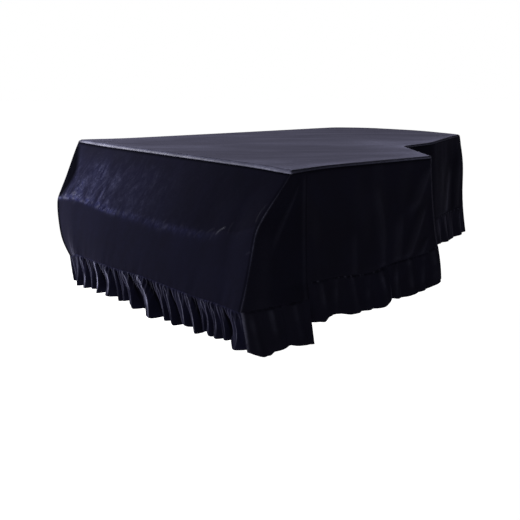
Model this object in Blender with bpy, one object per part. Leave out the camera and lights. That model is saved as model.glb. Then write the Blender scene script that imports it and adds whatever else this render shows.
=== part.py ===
"""Fitted velvet cover for a grand piano: top, front flap with cheeks, side panels and gathered ruffles.

The cover is a hollow shell of 2 mm cloth in the shape in which it hangs over the piano.
Frame: X towards the treble side, Y towards the tail, Z up. The origin is on the underside of the
top panel, at the middle of the lid. Outline and drops are written in the lid's own frame, whose
origin is the middle of the lid's front edge at the cloth's outer top face, and moved at the end.
"""

import math
import random
from collections import namedtuple

import bmesh
import bpy
from mathutils import Vector

# ---------------------------------------------------------------- driving dimensions (metres)
CLOTH = 0.002                 # cloth thickness
SEAM_GAP = 0.0003             # clear gap between two pieces that are sewn together
HALF_TURN = math.sqrt(0.5)    # sine and cosine of the roll's middle, 45 degrees
LID_HALF_WIDTH = 0.759        # half the width of the lid's front edge
LID_MIDDLE_Y = 0.800          # lid's front edge to the origin
ROLL_INSET = 0.010            # where the top panel starts to roll over the lid's edge
ROLL_DROP = 0.005             # how far the roll comes down to its seam
FRONT_ROLL_REACH = 0.006      # how far the front edge's roll leans out
SLIT_REACH = 0.065            # front corner to the slit between the flap and the side panels
LINE_STEP = 0.070             # longest straight facet along the edge
ARC_STEP = math.radians(24)   # widest turn per facet round a corner
FRONT_FACETS = 24             # facets along the front panel
RUFFLE_SPLIT = 4              # ruffle facets for each panel facet above it
RUFFLE_ROWS = (0.0, 0.25, 0.6, 1.0)
SIDE_ROWS = (0.0, 0.14, 0.36, 0.62, 0.84, 1.0)
FRONT_ROWS = (0.0, 0.18, 0.34, 0.44, 0.50, 0.56, 0.68, 0.84, 1.0)
CHEEK_FACETS = 3
GATHER_LEAN = 0.014           # how far a gather's crest leans sideways by the hem
GATHER_TOP = 0.25             # how deep a gather is just under its seam, as a share of its hem depth
GATHER_CALM = 0.03            # no gathers this near a ruffle's ends
FOLD_CALM = 0.08              # folds fade out this near a side panel's ends
FLARE_POWER = 1.4             # how the side panels curve away from the lid's edge
TUCK_POWER = 2.2              # how the front panel's corners curve in under the keyboard

VELVET = (0.012, 0.012, 0.030, 1.0)
VELVET_ROUGHNESS = 0.75

# Lid outline, anticlockwise seen from above: corners with the radius that rounds each one.
Corner = namedtuple("Corner", "name x y radius")
OUTLINE = (
    Corner("front_treble", LID_HALF_WIDTH, 0.000, 0.0),
    Corner("treble_corner", 0.752, 0.700, 0.045),
    Corner("bentside_dip", 0.385, 0.945, 0.100),
    Corner("bentside_swell", 0.345, 1.165, 0.550),
    Corner("tail_treble", 0.118, 1.627, 0.030),
    Corner("tail_end", -0.200, 1.712, 0.800),
    Corner("tail_turn", -0.600, 1.710, 0.300),
    Corner("tail_bass", -0.754, 1.590, 0.100),
    Corner("front_bass", -LID_HALF_WIDTH, 0.000, 0.0),
)

# The front panel's sections, from the bass edge to the treble edge. "out" is towards the player,
# "drop" is down from the lid, "tuck" is how far the section's foot swings towards the middle.
Section = namedtuple("Section", "across crease_out crease_drop crease_round belly foot_out foot_drop tuck")
FRONT_SECTIONS = (
    Section(-0.759, 0.131, 0.256, 0.010, 0.008, 0.122, 0.503, 0.104),
    Section(-0.560, 0.137, 0.240, 0.014, 0.006, 0.150, 0.478, 0.030),
    Section(-0.220, 0.140, 0.258, 0.018, 0.006, 0.167, 0.472, 0.004),
    Section(0.080, 0.138, 0.251, 0.020, 0.006, 0.168, 0.462, 0.000),
    Section(0.420, 0.140, 0.245, 0.026, 0.004, 0.168, 0.466, 0.000),
    Section(0.600, 0.142, 0.222, 0.032, 0.002, 0.176, 0.458, -0.008),
    Section(0.759, 0.150, 0.182, 0.036, 0.000, 0.190, 0.455, -0.024),
)

# How the skirt hangs along each side panel: "along" is the fraction of the panel's length.
Hang = namedtuple("Hang", "along seam_drop seam_out hem_drop hem_out")
TREBLE_HANG = (
    Hang(0.00, 0.386, 0.012, 0.524, 0.014),
    Hang(0.20, 0.386, 0.014, 0.513, 0.030),
    Hang(0.45, 0.394, 0.018, 0.529, 0.040),
    Hang(0.72, 0.373, 0.016, 0.504, 0.036),
    Hang(0.90, 0.362, 0.024, 0.490, 0.044),
    Hang(1.00, 0.338, 0.034, 0.468, 0.054),
)
BENTSIDE_HANG = (
    Hang(0.00, 0.338, 0.034, 0.468, 0.054),
    Hang(0.12, 0.352, 0.026, 0.470, 0.046),
    Hang(0.38, 0.350, 0.016, 0.466, 0.032),
    Hang(0.55, 0.344, 0.020, 0.462, 0.036),
    Hang(0.80, 0.350, 0.022, 0.482, 0.042),
    Hang(1.00, 0.352, 0.042, 0.480, 0.064),
)
TAIL_HANG = (
    Hang(0.00, 0.352, 0.042, 0.480, 0.064),
    Hang(0.14, 0.372, 0.022, 0.496, 0.042),
    Hang(0.50, 0.380, 0.016, 0.505, 0.036),
    Hang(0.84, 0.376, 0.020, 0.500, 0.040),
    Hang(1.00, 0.364, 0.030, 0.488, 0.052),
)
BASS_HANG = (
    Hang(0.00, 0.364, 0.030, 0.488, 0.052),
    Hang(0.12, 0.382, 0.018, 0.506, 0.038),
    Hang(0.40, 0.388, 0.015, 0.512, 0.034),
    Hang(0.72, 0.384, 0.018, 0.508, 0.036),
    Hang(1.00, 0.386, 0.012, 0.522, 0.014),
)

# Main soft folds of the side panels: a ridge from its top to its foot. "along" in metres from the
# panel's start, "drop" as a fraction of the panel's height, height and half width in metres.
Fold = namedtuple("Fold", "panel top_along top_drop foot_along foot_drop height half_width")
FOLDS = (
    Fold("treble_side_panel", 0.225, 0.10, 0.290, 1.00, 0.006, 0.045),
    Fold("treble_side_panel", 0.420, 0.20, 0.440, 1.00, 0.007, 0.050),
    Fold("treble_side_panel", 0.600, 0.10, 0.540, 1.00, 0.009, 0.040),
    Fold("bentside_panel", 0.380, 0.10, 0.400, 1.00, -0.008, 0.070),
    Fold("bentside_panel", 0.700, 0.15, 0.740, 1.00, 0.009, 0.060),
    Fold("bentside_panel", 0.960, 0.15, 0.930, 1.00, 0.010, 0.050),
    Fold("tail_panel", 0.220, 0.15, 0.250, 1.00, 0.008, 0.060),
    Fold("tail_panel", 0.600, 0.15, 0.580, 1.00, 0.007, 0.060),
    Fold("bass_side_panel", 0.350, 0.15, 0.330, 1.00, 0.007, 0.060),
    Fold("bass_side_panel", 0.820, 0.15, 0.860, 1.00, 0.008, 0.070),
    Fold("bass_side_panel", 1.220, 0.15, 1.190, 1.00, 0.006, 0.060),
)

# Crests of the front ruffle's gathers: distance along the front, half width and depth.
Gather = namedtuple("Gather", "along half_width depth")
FRONT_GATHERS = (
    Gather(0.045, 0.036, 0.018),
    Gather(0.122, 0.038, 0.022),
    Gather(0.197, 0.036, 0.027),
    Gather(0.265, 0.036, 0.030),
    Gather(0.340, 0.042, 0.032),
    Gather(0.437, 0.050, 0.036),
    Gather(0.516, 0.036, 0.022),
    Gather(0.607, 0.058, 0.042),
    Gather(0.690, 0.038, 0.020),
    Gather(0.762, 0.046, 0.034),
    Gather(0.847, 0.042, 0.030),
    Gather(0.936, 0.044, 0.032),
    Gather(1.008, 0.036, 0.027),
    Gather(1.078, 0.038, 0.030),
    Gather(1.152, 0.040, 0.029),
    Gather(1.232, 0.044, 0.030),
    Gather(1.350, 0.052, 0.032),
)

# The other ruffles: mean pitch and depth of their gathers, and the seed of their unevenness.
Ruffle = namedtuple("Ruffle", "pitch depth seed")
RUFFLES = {
    "treble_cheek_ruffle": Ruffle(0.072, 0.010, 11),
    "bass_cheek_ruffle": Ruffle(0.072, 0.010, 12),
    "treble_ruffle": Ruffle(0.105, 0.012, 13),
    "bentside_ruffle": Ruffle(0.105, 0.012, 14),
    "tail_ruffle": Ruffle(0.105, 0.012, 15),
    "bass_ruffle": Ruffle(0.110, 0.012, 16),
}

PITCH_SPREAD = (0.72, 1.28)
DEPTH_SPREAD = (0.60, 1.35)

# The cheeks' feet and hems at the slit. Between the front corner and the slit they bow outwards, and
# the hem dips.
CHEEK_BOW = 0.006
CHEEK_HEM_BOW = 0.010
CHEEK_FOOT_DROP = 0.440
CHEEK_FOOT_OUT = 0.023
CHEEK_HEM_DROP = 0.592
CHEEK_HEM_OUT = 0.040
CHEEK_HEM_Y = 0.078
CHEEK_HEM_DIP = 0.020

# The front ruffle's mean hem under those sections.
HemPoint = namedtuple("HemPoint", "across out drop tuck")
FRONT_HEM = (
    HemPoint(-0.759, 0.110, 0.606, 0.112),
    HemPoint(-0.560, 0.140, 0.608, 0.036),
    HemPoint(-0.220, 0.158, 0.608, 0.006),
    HemPoint(0.080, 0.158, 0.606, 0.000),
    HemPoint(0.420, 0.156, 0.603, 0.000),
    HemPoint(0.600, 0.160, 0.596, -0.006),
    HemPoint(0.759, 0.170, 0.586, -0.014),
)


# ---------------------------------------------------------------- small maths
def smooth(value):
    """Ease a 0..1 value in and out."""
    value = min(max(value, 0.0), 1.0)
    return value * value * (3.0 - 2.0 * value)


def read_table(rows, place):
    """Read the columns after the first from a table, eased between its rows."""
    last = rows[-1]
    if place >= last[0]:
        return tuple(last[1:])
    for low, high in zip(rows, rows[1:]):
        if place <= high[0]:
            mix = smooth((place - low[0]) / (high[0] - low[0]))
            return tuple(a + (b - a) * mix for a, b in zip(low[1:], high[1:]))
    return tuple(last[1:])


# ---------------------------------------------------------------- the lid's edge
Leg = namedtuple("Leg", "start end centre radius turn length")


def edge_legs():
    """Straight legs and arcs of the lid's edge, from the front treble corner round to the bass one."""
    points = [Vector((corner.x, corner.y)) for corner in OUTLINE]
    legs = []
    at = points[0]
    for before, corner, after, data in zip(points, points[1:], points[2:], OUTLINE[1:]):
        into = (corner - before).normalized()
        out = (after - corner).normalized()
        turn = math.atan2(into.x * out.y - into.y * out.x, into.dot(out))
        reach = data.radius * math.tan(abs(turn) / 2)
        arc_start = corner - into * reach
        arc_end = corner + out * reach
        legs.append(Leg(at, arc_start, None, 0.0, 0.0, (arc_start - at).length))
        side = Vector((-into.y, into.x)) * math.copysign(1.0, turn)
        centre = arc_start + side * data.radius
        legs.append(Leg(arc_start, arc_end, centre, data.radius, turn, data.radius * abs(turn)))
        at = arc_end
    legs.append(Leg(at, points[-1], None, 0.0, 0.0, (points[-1] - at).length))
    return legs


LEGS = edge_legs()
EDGE_LENGTH = sum(leg.length for leg in LEGS)


def edge_at(distance):
    """Point on the lid's edge and its outward direction, at a distance from the front treble corner."""
    for leg in LEGS:
        if distance <= leg.length or leg is LEGS[-1]:
            break
        distance -= leg.length
    if leg.centre is None:
        along = (leg.end - leg.start).normalized()
        return leg.start + along * distance, Vector((along.y, -along.x))
    angle = leg.turn * distance / leg.length
    arm = leg.start - leg.centre
    turned = Vector((
        arm.x * math.cos(angle) - arm.y * math.sin(angle),
        arm.x * math.sin(angle) + arm.y * math.cos(angle),
    ))
    return leg.centre + turned, turned.normalized() * math.copysign(1.0, leg.turn)


def arc_middle(name):
    """Distance along the edge to the middle of a named corner's arc."""
    index = [corner.name for corner in OUTLINE].index(name)
    before = sum(leg.length for leg in LEGS[: 2 * index - 1])
    return before + LEGS[2 * index - 1].length / 2


def stations(start, end):
    """Distances along the edge from start to end, closer together round the corners."""
    marks = [start]
    at = 0.0
    for leg in LEGS:
        low = max(at, start)
        high = min(at + leg.length, end)
        at += leg.length
        if high - low < 1e-6:
            continue
        if leg.centre is None:
            count = math.ceil((high - low) / LINE_STEP)
        else:
            count = max(1, math.ceil(abs(leg.turn) * (high - low) / leg.length / ARC_STEP))
        marks += [low + (high - low) * (step + 1) / count for step in range(count)]
    return marks


TREBLE_SLIT = SLIT_REACH
TREBLE_TURN = arc_middle("treble_corner")
TAIL_TREBLE_TURN = arc_middle("tail_treble")
TAIL_BASS_TURN = arc_middle("tail_bass")
BASS_SLIT = EDGE_LENGTH - SLIT_REACH

SIDES = {                     # panel: start, end, its hang table
    "treble_side_panel": (TREBLE_SLIT, TREBLE_TURN, TREBLE_HANG),
    "bentside_panel": (TREBLE_TURN, TAIL_TREBLE_TURN, BENTSIDE_HANG),
    "tail_panel": (TAIL_TREBLE_TURN, TAIL_BASS_TURN, TAIL_HANG),
    "bass_side_panel": (TAIL_BASS_TURN, BASS_SLIT, BASS_HANG),
}


# ---------------------------------------------------------------- surfaces of the cloth's outer face
def hang_point(distance, out, drop):
    """A point hanging below the lid's edge, pushed outwards, and the inward thickness there."""
    edge, outward = edge_at(distance)
    point = Vector((edge.x + outward.x * out, edge.y + outward.y * out, -drop))
    return point, Vector((-outward.x, -outward.y, 0.0)) * CLOTH


def fold_height(panel, along, fraction, length):
    """How far a side panel's folds push the cloth out; none at the panel's seams."""
    height = 0.0
    for fold in FOLDS:
        if fold.panel != panel or fraction < fold.top_drop:
            continue
        part = (fraction - fold.top_drop) / (fold.foot_drop - fold.top_drop)
        crest = fold.top_along + (fold.foot_along - fold.top_along) * part
        height += fold.height * smooth(part) * math.exp(-(((along - crest) / fold.half_width) ** 2))
    return height * smooth(along / FOLD_CALM) * smooth((length - along) / FOLD_CALM)


def side_point(panel, distance, fraction):
    """A side panel's outer face: fraction runs from the top seam to the ruffle's seam."""
    start, end, table = SIDES[panel]
    seam_drop, seam_out, _, _ = read_table(table, (distance - start) / (end - start))
    drop = ROLL_DROP + (seam_drop - ROLL_DROP) * fraction
    out = seam_out * fraction ** FLARE_POWER
    out += fold_height(panel, distance - start, fraction, end - start)
    return hang_point(distance, out, drop)


def front_section(across):
    """A front section's measures, read between the rows of the table."""
    return Section(across, *read_table(FRONT_SECTIONS, across))


def front_point(across, fraction):
    """The front panel's outer face: fraction runs from the lid's edge down to the ruffle's seam."""
    section = front_section(across)
    top = Vector((FRONT_ROLL_REACH, ROLL_DROP))
    crease = Vector((section.crease_out, section.crease_drop))
    foot = Vector((section.foot_out, section.foot_drop))
    slope = crease - top
    fall = foot - crease
    whole = slope.length + fall.length
    past = fraction * whole - slope.length
    slope_way = slope.normalized()
    fall_way = fall.normalized()
    rounding = section.crease_round * smooth(6.0 * fraction * (1.0 - fraction))
    bent = math.hypot(past, rounding)
    place = crease + (slope_way + fall_way) * past / 2 + (fall_way - slope_way) * bent / 2
    below = max(past, 0.0) / fall.length
    out = place.x + section.belly * 4.0 * below * (1.0 - below)
    shift = section.tuck * below ** TUCK_POWER
    return Vector((across + shift, -out, -place.y))


def front_inward(across):
    """The front panel's thickness, towards the piano; at its corners it is mitred with the cheek's."""
    at_corner = abs(across) > LID_HALF_WIDTH - 1e-6
    return Vector((-math.copysign(CLOTH, across) if at_corner else 0.0, CLOTH, 0.0))


def front_hem_point(across):
    """The front ruffle's mean hem below a point of the front panel."""
    out, drop, tuck = read_table(FRONT_HEM, across)
    return Vector((across + tuck, -out, -drop))


def slit_point(side, fraction):
    """The flap's edge along the slit, from the lid down to the cheek's foot."""
    table = TREBLE_HANG if side > 0 else BASS_HANG
    slit_row = table[0] if side > 0 else table[-1]
    drop = ROLL_DROP + (CHEEK_FOOT_DROP - ROLL_DROP) * fraction
    sewn = (slit_row.seam_drop - ROLL_DROP) / (CHEEK_FOOT_DROP - ROLL_DROP)
    if fraction <= sewn:
        out = slit_row.seam_out * (fraction / sewn) ** FLARE_POWER
    else:
        loose = (fraction - sewn) / (1.0 - sewn)
        out = slit_row.seam_out + (CHEEK_FOOT_OUT - slit_row.seam_out) * loose
    distance = TREBLE_SLIT if side > 0 else BASS_SLIT
    return hang_point(distance, out, drop)


def cheek_point(side, across, fraction):
    """A cheek panel's outer face: across runs from the front seam (0) to the slit (1)."""
    front = front_point(side * LID_HALF_WIDTH, fraction)
    rear, inward = slit_point(side, fraction)
    point = front.lerp(rear, across)
    point.x += side * CHEEK_BOW * math.sin(math.pi * across) * fraction
    return point, inward


def cheek_hem_point(side, across):
    """A cheek ruffle's mean hem: across runs from the front seam (0) to the slit (1)."""
    front = front_hem_point(side * LID_HALF_WIDTH)
    edge, _ = edge_at(TREBLE_SLIT if side > 0 else BASS_SLIT)
    rear = Vector((edge.x + side * CHEEK_HEM_OUT, CHEEK_HEM_Y, -CHEEK_HEM_DROP))
    point = front.lerp(rear, across)
    point.z -= CHEEK_HEM_DIP * math.sin(math.pi * min(across * 1.6, 1.0))
    point.x += side * CHEEK_HEM_BOW * math.sin(math.pi * across)
    return point


# ---------------------------------------------------------------- gathers
def uneven_gathers(name, length):
    """Crests at an uneven pitch along a ruffle, from its own mean pitch, depth and seed."""
    ruffle = RUFFLES[name]
    chance = random.Random(ruffle.seed)
    gathers = []
    at = ruffle.pitch / 2
    while at < length - ruffle.pitch / 2:
        pitch = ruffle.pitch * chance.uniform(*PITCH_SPREAD)
        gathers.append(Gather(at, pitch / 2, ruffle.depth * chance.uniform(*DEPTH_SPREAD)))
        at += pitch
    return gathers


def gather_depth(gathers, along, length, fall):
    """How far the gathers stand out, at a distance along the ruffle and a fraction of its fall."""
    height = 0.0
    for gather in gathers:
        crest = gather.along + GATHER_LEAN * fall
        offset = abs(along - crest) / gather.half_width
        if offset < 1.0:
            height += gather.depth * (math.cos(math.pi * offset) * 0.5 + 0.5)
    mean = sum(g.depth * g.half_width for g in gathers) / length
    calm = smooth(along / GATHER_CALM) * smooth((length - along) / GATHER_CALM)
    deepening = (GATHER_TOP + (1.0 - GATHER_TOP) * fall) * smooth(fall / GATHER_TOP)
    return (height - mean) * calm * deepening


# ---------------------------------------------------------------- meshes
def velvet():
    """The cover's one cloth."""
    material = bpy.data.materials.new("velvet")
    material.use_nodes = True
    shader = material.node_tree.nodes["Principled BSDF"]
    shader.inputs["Base Color"].default_value = VELVET
    shader.inputs["Roughness"].default_value = VELVET_ROUGHNESS
    shader.inputs["Metallic"].default_value = 0.0
    return material


def finish(name, mesh, material):
    """Move a finished mesh into the part's frame and link its object."""
    for vertex in mesh.verts:
        vertex.co += Vector((0.0, -LID_MIDDLE_Y, CLOTH))
    bmesh.ops.recalc_face_normals(mesh, faces=mesh.faces)
    if mesh.calc_volume(signed=True) < 0.0:
        bmesh.ops.reverse_faces(mesh, faces=mesh.faces)
    data = bpy.data.meshes.new(name)
    mesh.to_mesh(data)
    mesh.free()
    data.materials.append(material)
    data.shade_smooth()
    bpy.context.scene.collection.objects.link(bpy.data.objects.new(name, data))


def pull_back(points):
    """Draw a sheet's rim in by half the seam's gap, so that it stays clear of what it is sewn to."""
    rows = len(points)
    columns = len(points[0])
    half = SEAM_GAP / 2
    moved = [[face.copy() for face in row] for row in points]
    for row in range(rows):
        first = (points[row][1] - points[row][0]).normalized() * half
        last = (points[row][columns - 2] - points[row][columns - 1]).normalized() * half
        moved[row][0] += first
        moved[row][columns - 1] += last
    for column in range(columns):
        first = (points[1][column] - points[0][column]).normalized() * half
        last = (points[rows - 2][column] - points[rows - 1][column]).normalized() * half
        moved[0][column] += first
        moved[rows - 1][column] += last
    return moved


def sheet(name, outer, inner, material):
    """A closed sheet of cloth from two matching grids: its outer face and its inner face."""
    rows = len(outer)
    columns = len(outer[0])
    outer = pull_back(outer)
    inner = pull_back(inner)
    mesh = bmesh.new()
    bmesh.ops.create_grid(mesh, x_segments=columns - 1, y_segments=rows - 1, size=0.5)
    place = {}
    for vertex in mesh.verts:
        column = round((vertex.co.x + 0.5) * (columns - 1))
        row = round((vertex.co.y + 0.5) * (rows - 1))
        place[vertex] = (row, column)
    bmesh.ops.extrude_face_region(mesh, geom=mesh.faces[:], use_keep_orig=True)
    for vertex in mesh.verts:
        if vertex not in place:
            column = round((vertex.co.x + 0.5) * (columns - 1))
            row = round((vertex.co.y + 0.5) * (rows - 1))
            vertex.co = inner[row][column]
    for vertex, (row, column) in place.items():
        vertex.co = outer[row][column]
    finish(name, mesh, material)


def split_columns(grid, parts):
    """Divide each column of a grid's last row into straight parts."""
    last = grid[-1]
    line = []
    for low, high in zip(last, last[1:]):
        line += [low.lerp(high, part / parts) for part in range(parts)]
    line.append(last[-1])
    return line


def ruffle(name, top_outer, top_inner, hem_at, outward_at, gathers, material):
    """A ruffle sewn under a panel: its top row is the panel's foot, its hem falls in gathers."""
    lengths = [0.0]
    for low, high in zip(top_outer, top_outer[1:]):
        lengths.append(lengths[-1] + (high - low).length)
    whole = lengths[-1]
    outer = []
    inner = []
    for fall in RUFFLE_ROWS:
        outer_row = []
        inner_row = []
        for index, along in enumerate(lengths):
            hem = hem_at(along / whole)
            outward = outward_at(along / whole)
            point = top_outer[index].lerp(hem, fall)
            point += outward * gather_depth(gathers, along, whole, fall)
            outer_row.append(point)
            inner_row.append(point + (top_inner[index] - top_outer[index]))
        outer.append(outer_row)
        inner.append(inner_row)
    sheet(name, outer, inner, material)


def build_top(rim, material):
    """The top panel: flat over the lid, rolled over its edge down to the seam that the panels share.

    rim holds, anticlockwise, each seam point with its outward direction and inward thickness.
    """
    rings = []
    for seam, outward, inward in rim:
        reach = ROLL_INSET + (FRONT_ROLL_REACH if seam.y < 0.0 else 0.0)
        flat = Vector((seam.x - outward.x * ROLL_INSET, seam.y - outward.y * reach, 0.0))
        bend = flat.lerp(seam, HALF_TURN)
        bend.z = seam.z * (1.0 - HALF_TURN)
        down = Vector((0.0, 0.0, -CLOTH))
        edge = seam + (bend - seam).normalized() * (SEAM_GAP / 2)
        rings.append((
            (flat, flat + down),
            (bend, bend + (inward + down) * HALF_TURN),
            (edge, edge + inward),
        ))
    mesh = bmesh.new()
    count = len(rings)
    bmesh.ops.create_circle(mesh, segments=count, radius=1.0, cap_ends=True)
    for scale in (2.0, 1.5):
        border = [edge for edge in mesh.edges if edge.is_boundary]
        grown = bmesh.ops.extrude_edge_only(mesh, edges=border)["geom"]
        new = [item for item in grown if isinstance(item, bmesh.types.BMVert)]
        bmesh.ops.scale(mesh, vec=(scale, scale, 1.0), verts=new)

    def slot(vertex):
        turn = math.atan2(-vertex.co.x, vertex.co.y) / (2.0 * math.pi)
        return round(turn * count) % count, round(vertex.co.length) - 1

    front = {vertex: slot(vertex) for vertex in mesh.verts}
    bmesh.ops.extrude_face_region(mesh, geom=mesh.faces[:], use_keep_orig=True)
    for vertex in mesh.verts:
        face = 0 if vertex in front else 1
        index, ring = front.get(vertex) or slot(vertex)
        vertex.co = rings[index][ring][face]
    finish("top_panel", mesh, material)


def build_front(material):
    """The front panel and its ruffle."""
    acrosses = [
        -LID_HALF_WIDTH + 2 * LID_HALF_WIDTH * step / FRONT_FACETS for step in range(FRONT_FACETS + 1)
    ]
    outer = []
    inner = []
    for fraction in FRONT_ROWS:
        outer_row = []
        inner_row = []
        for across in acrosses:
            point = front_point(across, fraction)
            outer_row.append(point)
            inner_row.append(point + front_inward(across))
        outer.append(outer_row)
        inner.append(inner_row)
    sheet("front_panel", outer, inner, material)
    rim = []
    for across, top, back in zip(acrosses, outer[0], inner[0]):
        sideways = math.copysign(1.0, across) if abs(across) > LID_HALF_WIDTH - 1e-6 else 0.0
        rim.append((top, Vector((sideways, -1.0, 0.0)), back - top))

    def hem_at(fraction):
        return front_hem_point(-LID_HALF_WIDTH + 2 * LID_HALF_WIDTH * fraction)

    ruffle(
        "front_ruffle",
        split_columns(outer, RUFFLE_SPLIT),
        split_columns(inner, RUFFLE_SPLIT),
        hem_at,
        lambda fraction: Vector((0.0, -1.0, 0.0)),
        FRONT_GATHERS,
        material,
    )
    return rim


def build_cheek(side, material):
    """A cheek of the front flap and its ruffle, on the treble (1) or the bass (-1) side."""
    prefix = "treble" if side > 0 else "bass"
    outer = []
    inner = []
    for fraction in FRONT_ROWS:
        outer_row = []
        inner_row = []
        for step in range(CHEEK_FACETS + 1):
            point, inward = cheek_point(side, step / CHEEK_FACETS, fraction)
            if step == 0:
                inward = front_inward(side * LID_HALF_WIDTH)
            outer_row.append(point)
            inner_row.append(point + inward)
        outer.append(outer_row)
        inner.append(inner_row)
    sheet(f"{prefix}_cheek_panel", outer, inner, material)
    top_outer = split_columns(outer, RUFFLE_SPLIT)
    length = sum((high - low).length for low, high in zip(top_outer, top_outer[1:]))
    name = f"{prefix}_cheek_ruffle"
    ruffle(
        name,
        top_outer,
        split_columns(inner, RUFFLE_SPLIT),
        lambda fraction: cheek_hem_point(side, fraction),
        lambda fraction: Vector((side, 0.0, 0.0)),
        uneven_gathers(name, length),
        material,
    )
    return [
        (top, Vector((side, 0.0, 0.0)), back - top) for top, back in zip(outer[0][1:-1], inner[0][1:-1])
    ]


def build_side(panel, material):
    """One side panel and its ruffle."""
    start, end, table = SIDES[panel]
    marks = stations(start, end)
    outer = []
    inner = []
    for fraction in SIDE_ROWS:
        placed = [side_point(panel, mark, fraction) for mark in marks]
        outer.append([point for point, _ in placed])
        inner.append([point + inward for point, inward in placed])
    sheet(panel, outer, inner, material)

    def hem_at(fraction):
        _, _, hem_drop, hem_out = read_table(table, fraction)
        return hang_point(start + (end - start) * fraction, hem_out, hem_drop)[0]

    def outward_at(fraction):
        _, outward = edge_at(start + (end - start) * fraction)
        return Vector((outward.x, outward.y, 0.0))

    name = panel.replace("_side", "").replace("_panel", "_ruffle")
    ruffle(
        name,
        split_columns(outer, RUFFLE_SPLIT),
        split_columns(inner, RUFFLE_SPLIT),
        hem_at,
        outward_at,
        uneven_gathers(name, end - start),
        material,
    )
    return [
        (top, outward_at((mark - start) / (end - start)), back - top)
        for mark, top, back in zip(marks, outer[0], inner[0])
    ]


def main():
    """Build the whole cover."""
    for old in list(bpy.data.objects):
        bpy.data.objects.remove(old, do_unlink=True)
    material = velvet()
    rim = build_front(material)
    rim += build_cheek(1, material)
    for panel in SIDES:
        *panel_rim, panel_end = build_side(panel, material)
        rim += panel_rim
    rim.append(panel_end)
    rim += reversed(build_cheek(-1, material))
    build_top(rim, material)


main()
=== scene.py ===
"""Looks of a fitted velvet cover for a grand piano.

The cover is dark navy velvet in its hanging shape: a flat top panel rolled over the lid's edge, a
sloping front flap with a cheek at each end, four side panels and a gathered ruffle round the hem.
Every sewn piece is one closed sheet of 2 mm cloth that stands for the plain piece of its name.

Sizes are in metres. The shapes are written in the lid's own frame: X towards the treble side, Y
towards the tail, Z up, with the origin on the cloth's outer face at the middle of the lid's front
edge. ClothSheet moves each finished piece into the frame's own place.
"""

from __future__ import annotations

import logging
import math
import random
from collections.abc import Callable, Sequence
from dataclasses import dataclass, replace
from enum import Enum
from functools import partial
from typing import NamedTuple

import bmesh
import bpy
from mathutils import Matrix, Vector, noise

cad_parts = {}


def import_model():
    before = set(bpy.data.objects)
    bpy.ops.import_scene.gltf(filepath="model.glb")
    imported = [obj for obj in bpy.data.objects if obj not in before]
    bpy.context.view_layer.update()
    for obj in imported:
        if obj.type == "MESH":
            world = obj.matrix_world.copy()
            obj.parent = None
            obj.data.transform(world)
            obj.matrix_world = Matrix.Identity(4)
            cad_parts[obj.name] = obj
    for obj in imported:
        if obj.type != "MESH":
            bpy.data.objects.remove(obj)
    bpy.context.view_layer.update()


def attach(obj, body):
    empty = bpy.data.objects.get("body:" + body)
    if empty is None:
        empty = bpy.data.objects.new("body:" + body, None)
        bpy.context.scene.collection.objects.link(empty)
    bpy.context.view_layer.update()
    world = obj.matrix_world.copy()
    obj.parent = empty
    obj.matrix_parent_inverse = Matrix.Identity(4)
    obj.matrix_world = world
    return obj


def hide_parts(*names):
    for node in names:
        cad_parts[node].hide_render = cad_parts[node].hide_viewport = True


log = logging.getLogger("piano_cover")

BODY = "root"
FLAT_MAP = "flat"

# ------------------------------------------------------------------ the cover's own dimensions
CLOTH = 0.002
SEAM_GAP = 0.0003
LID_HALF_WIDTH = 0.759
LID_MIDDLE_Y = 0.800
LID_HEIGHT = 1.011
ROLL_INSET = 0.013
ROLL_DROP = 0.009
FRONT_ROLL_DROP = 0.012
FRONT_ROLL_REACH = 0.007
SLIT_REACH = 0.065
FLARE_POWER = 1.4
TUCK_POWER = 2.2
LOFT = 0.004
LOFT_REACH = 0.070
SHARP_ANGLE = math.radians(65)
RIM_LINES = (0.0012, 0.003, 0.0055, 0.009)
PLAIN_PRESS_AND_SHEEN = 0.15
ROLL_SHADE = 0.6
GATHER_AREA = 1.33
GATHER_SWEEP = 0.006
GATHER_SHINE = 0.035
GATHER_PITCHES = (0.72, 1.28)
GATHER_DEPTHS = (0.60, 1.35)
TUCK_PITCHES = (0.6, 1.5)
TUCK_DEPTHS = (0.3, 1.3)
TINY = 1e-6
FRAME_SHIFT = Vector((0.0, -LID_MIDDLE_Y, CLOTH))
Steps = Sequence[tuple[float, float]]
LEVEL_HEM: Steps = ((0.0, 0.0), (1.0, 0.0))


class Corner(NamedTuple):
    """A corner of the lid's outline and the radius that rounds it."""

    name: str
    x: float
    y: float
    radius: float


OUTLINE = (
    Corner("front_treble", LID_HALF_WIDTH, 0.000, 0.0),
    Corner("treble_corner", 0.752, 0.700, 0.045),
    Corner("bentside_dip", 0.385, 0.945, 0.100),
    Corner("bentside_swell", 0.345, 1.165, 0.550),
    Corner("tail_treble", 0.118, 1.627, 0.030),
    Corner("tail_end", -0.200, 1.712, 0.800),
    Corner("tail_turn", -0.600, 1.710, 0.300),
    Corner("tail_bass", -0.754, 1.590, 0.100),
    Corner("front_bass", -LID_HALF_WIDTH, 0.000, 0.0),
)


class Section(NamedTuple):
    """The front panel's profile at one place across: its crease, its foot and how its foot tucks in."""

    across: float
    crease_out: float
    crease_drop: float
    crease_round: float
    belly: float
    foot_out: float
    foot_drop: float
    tuck: float


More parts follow.
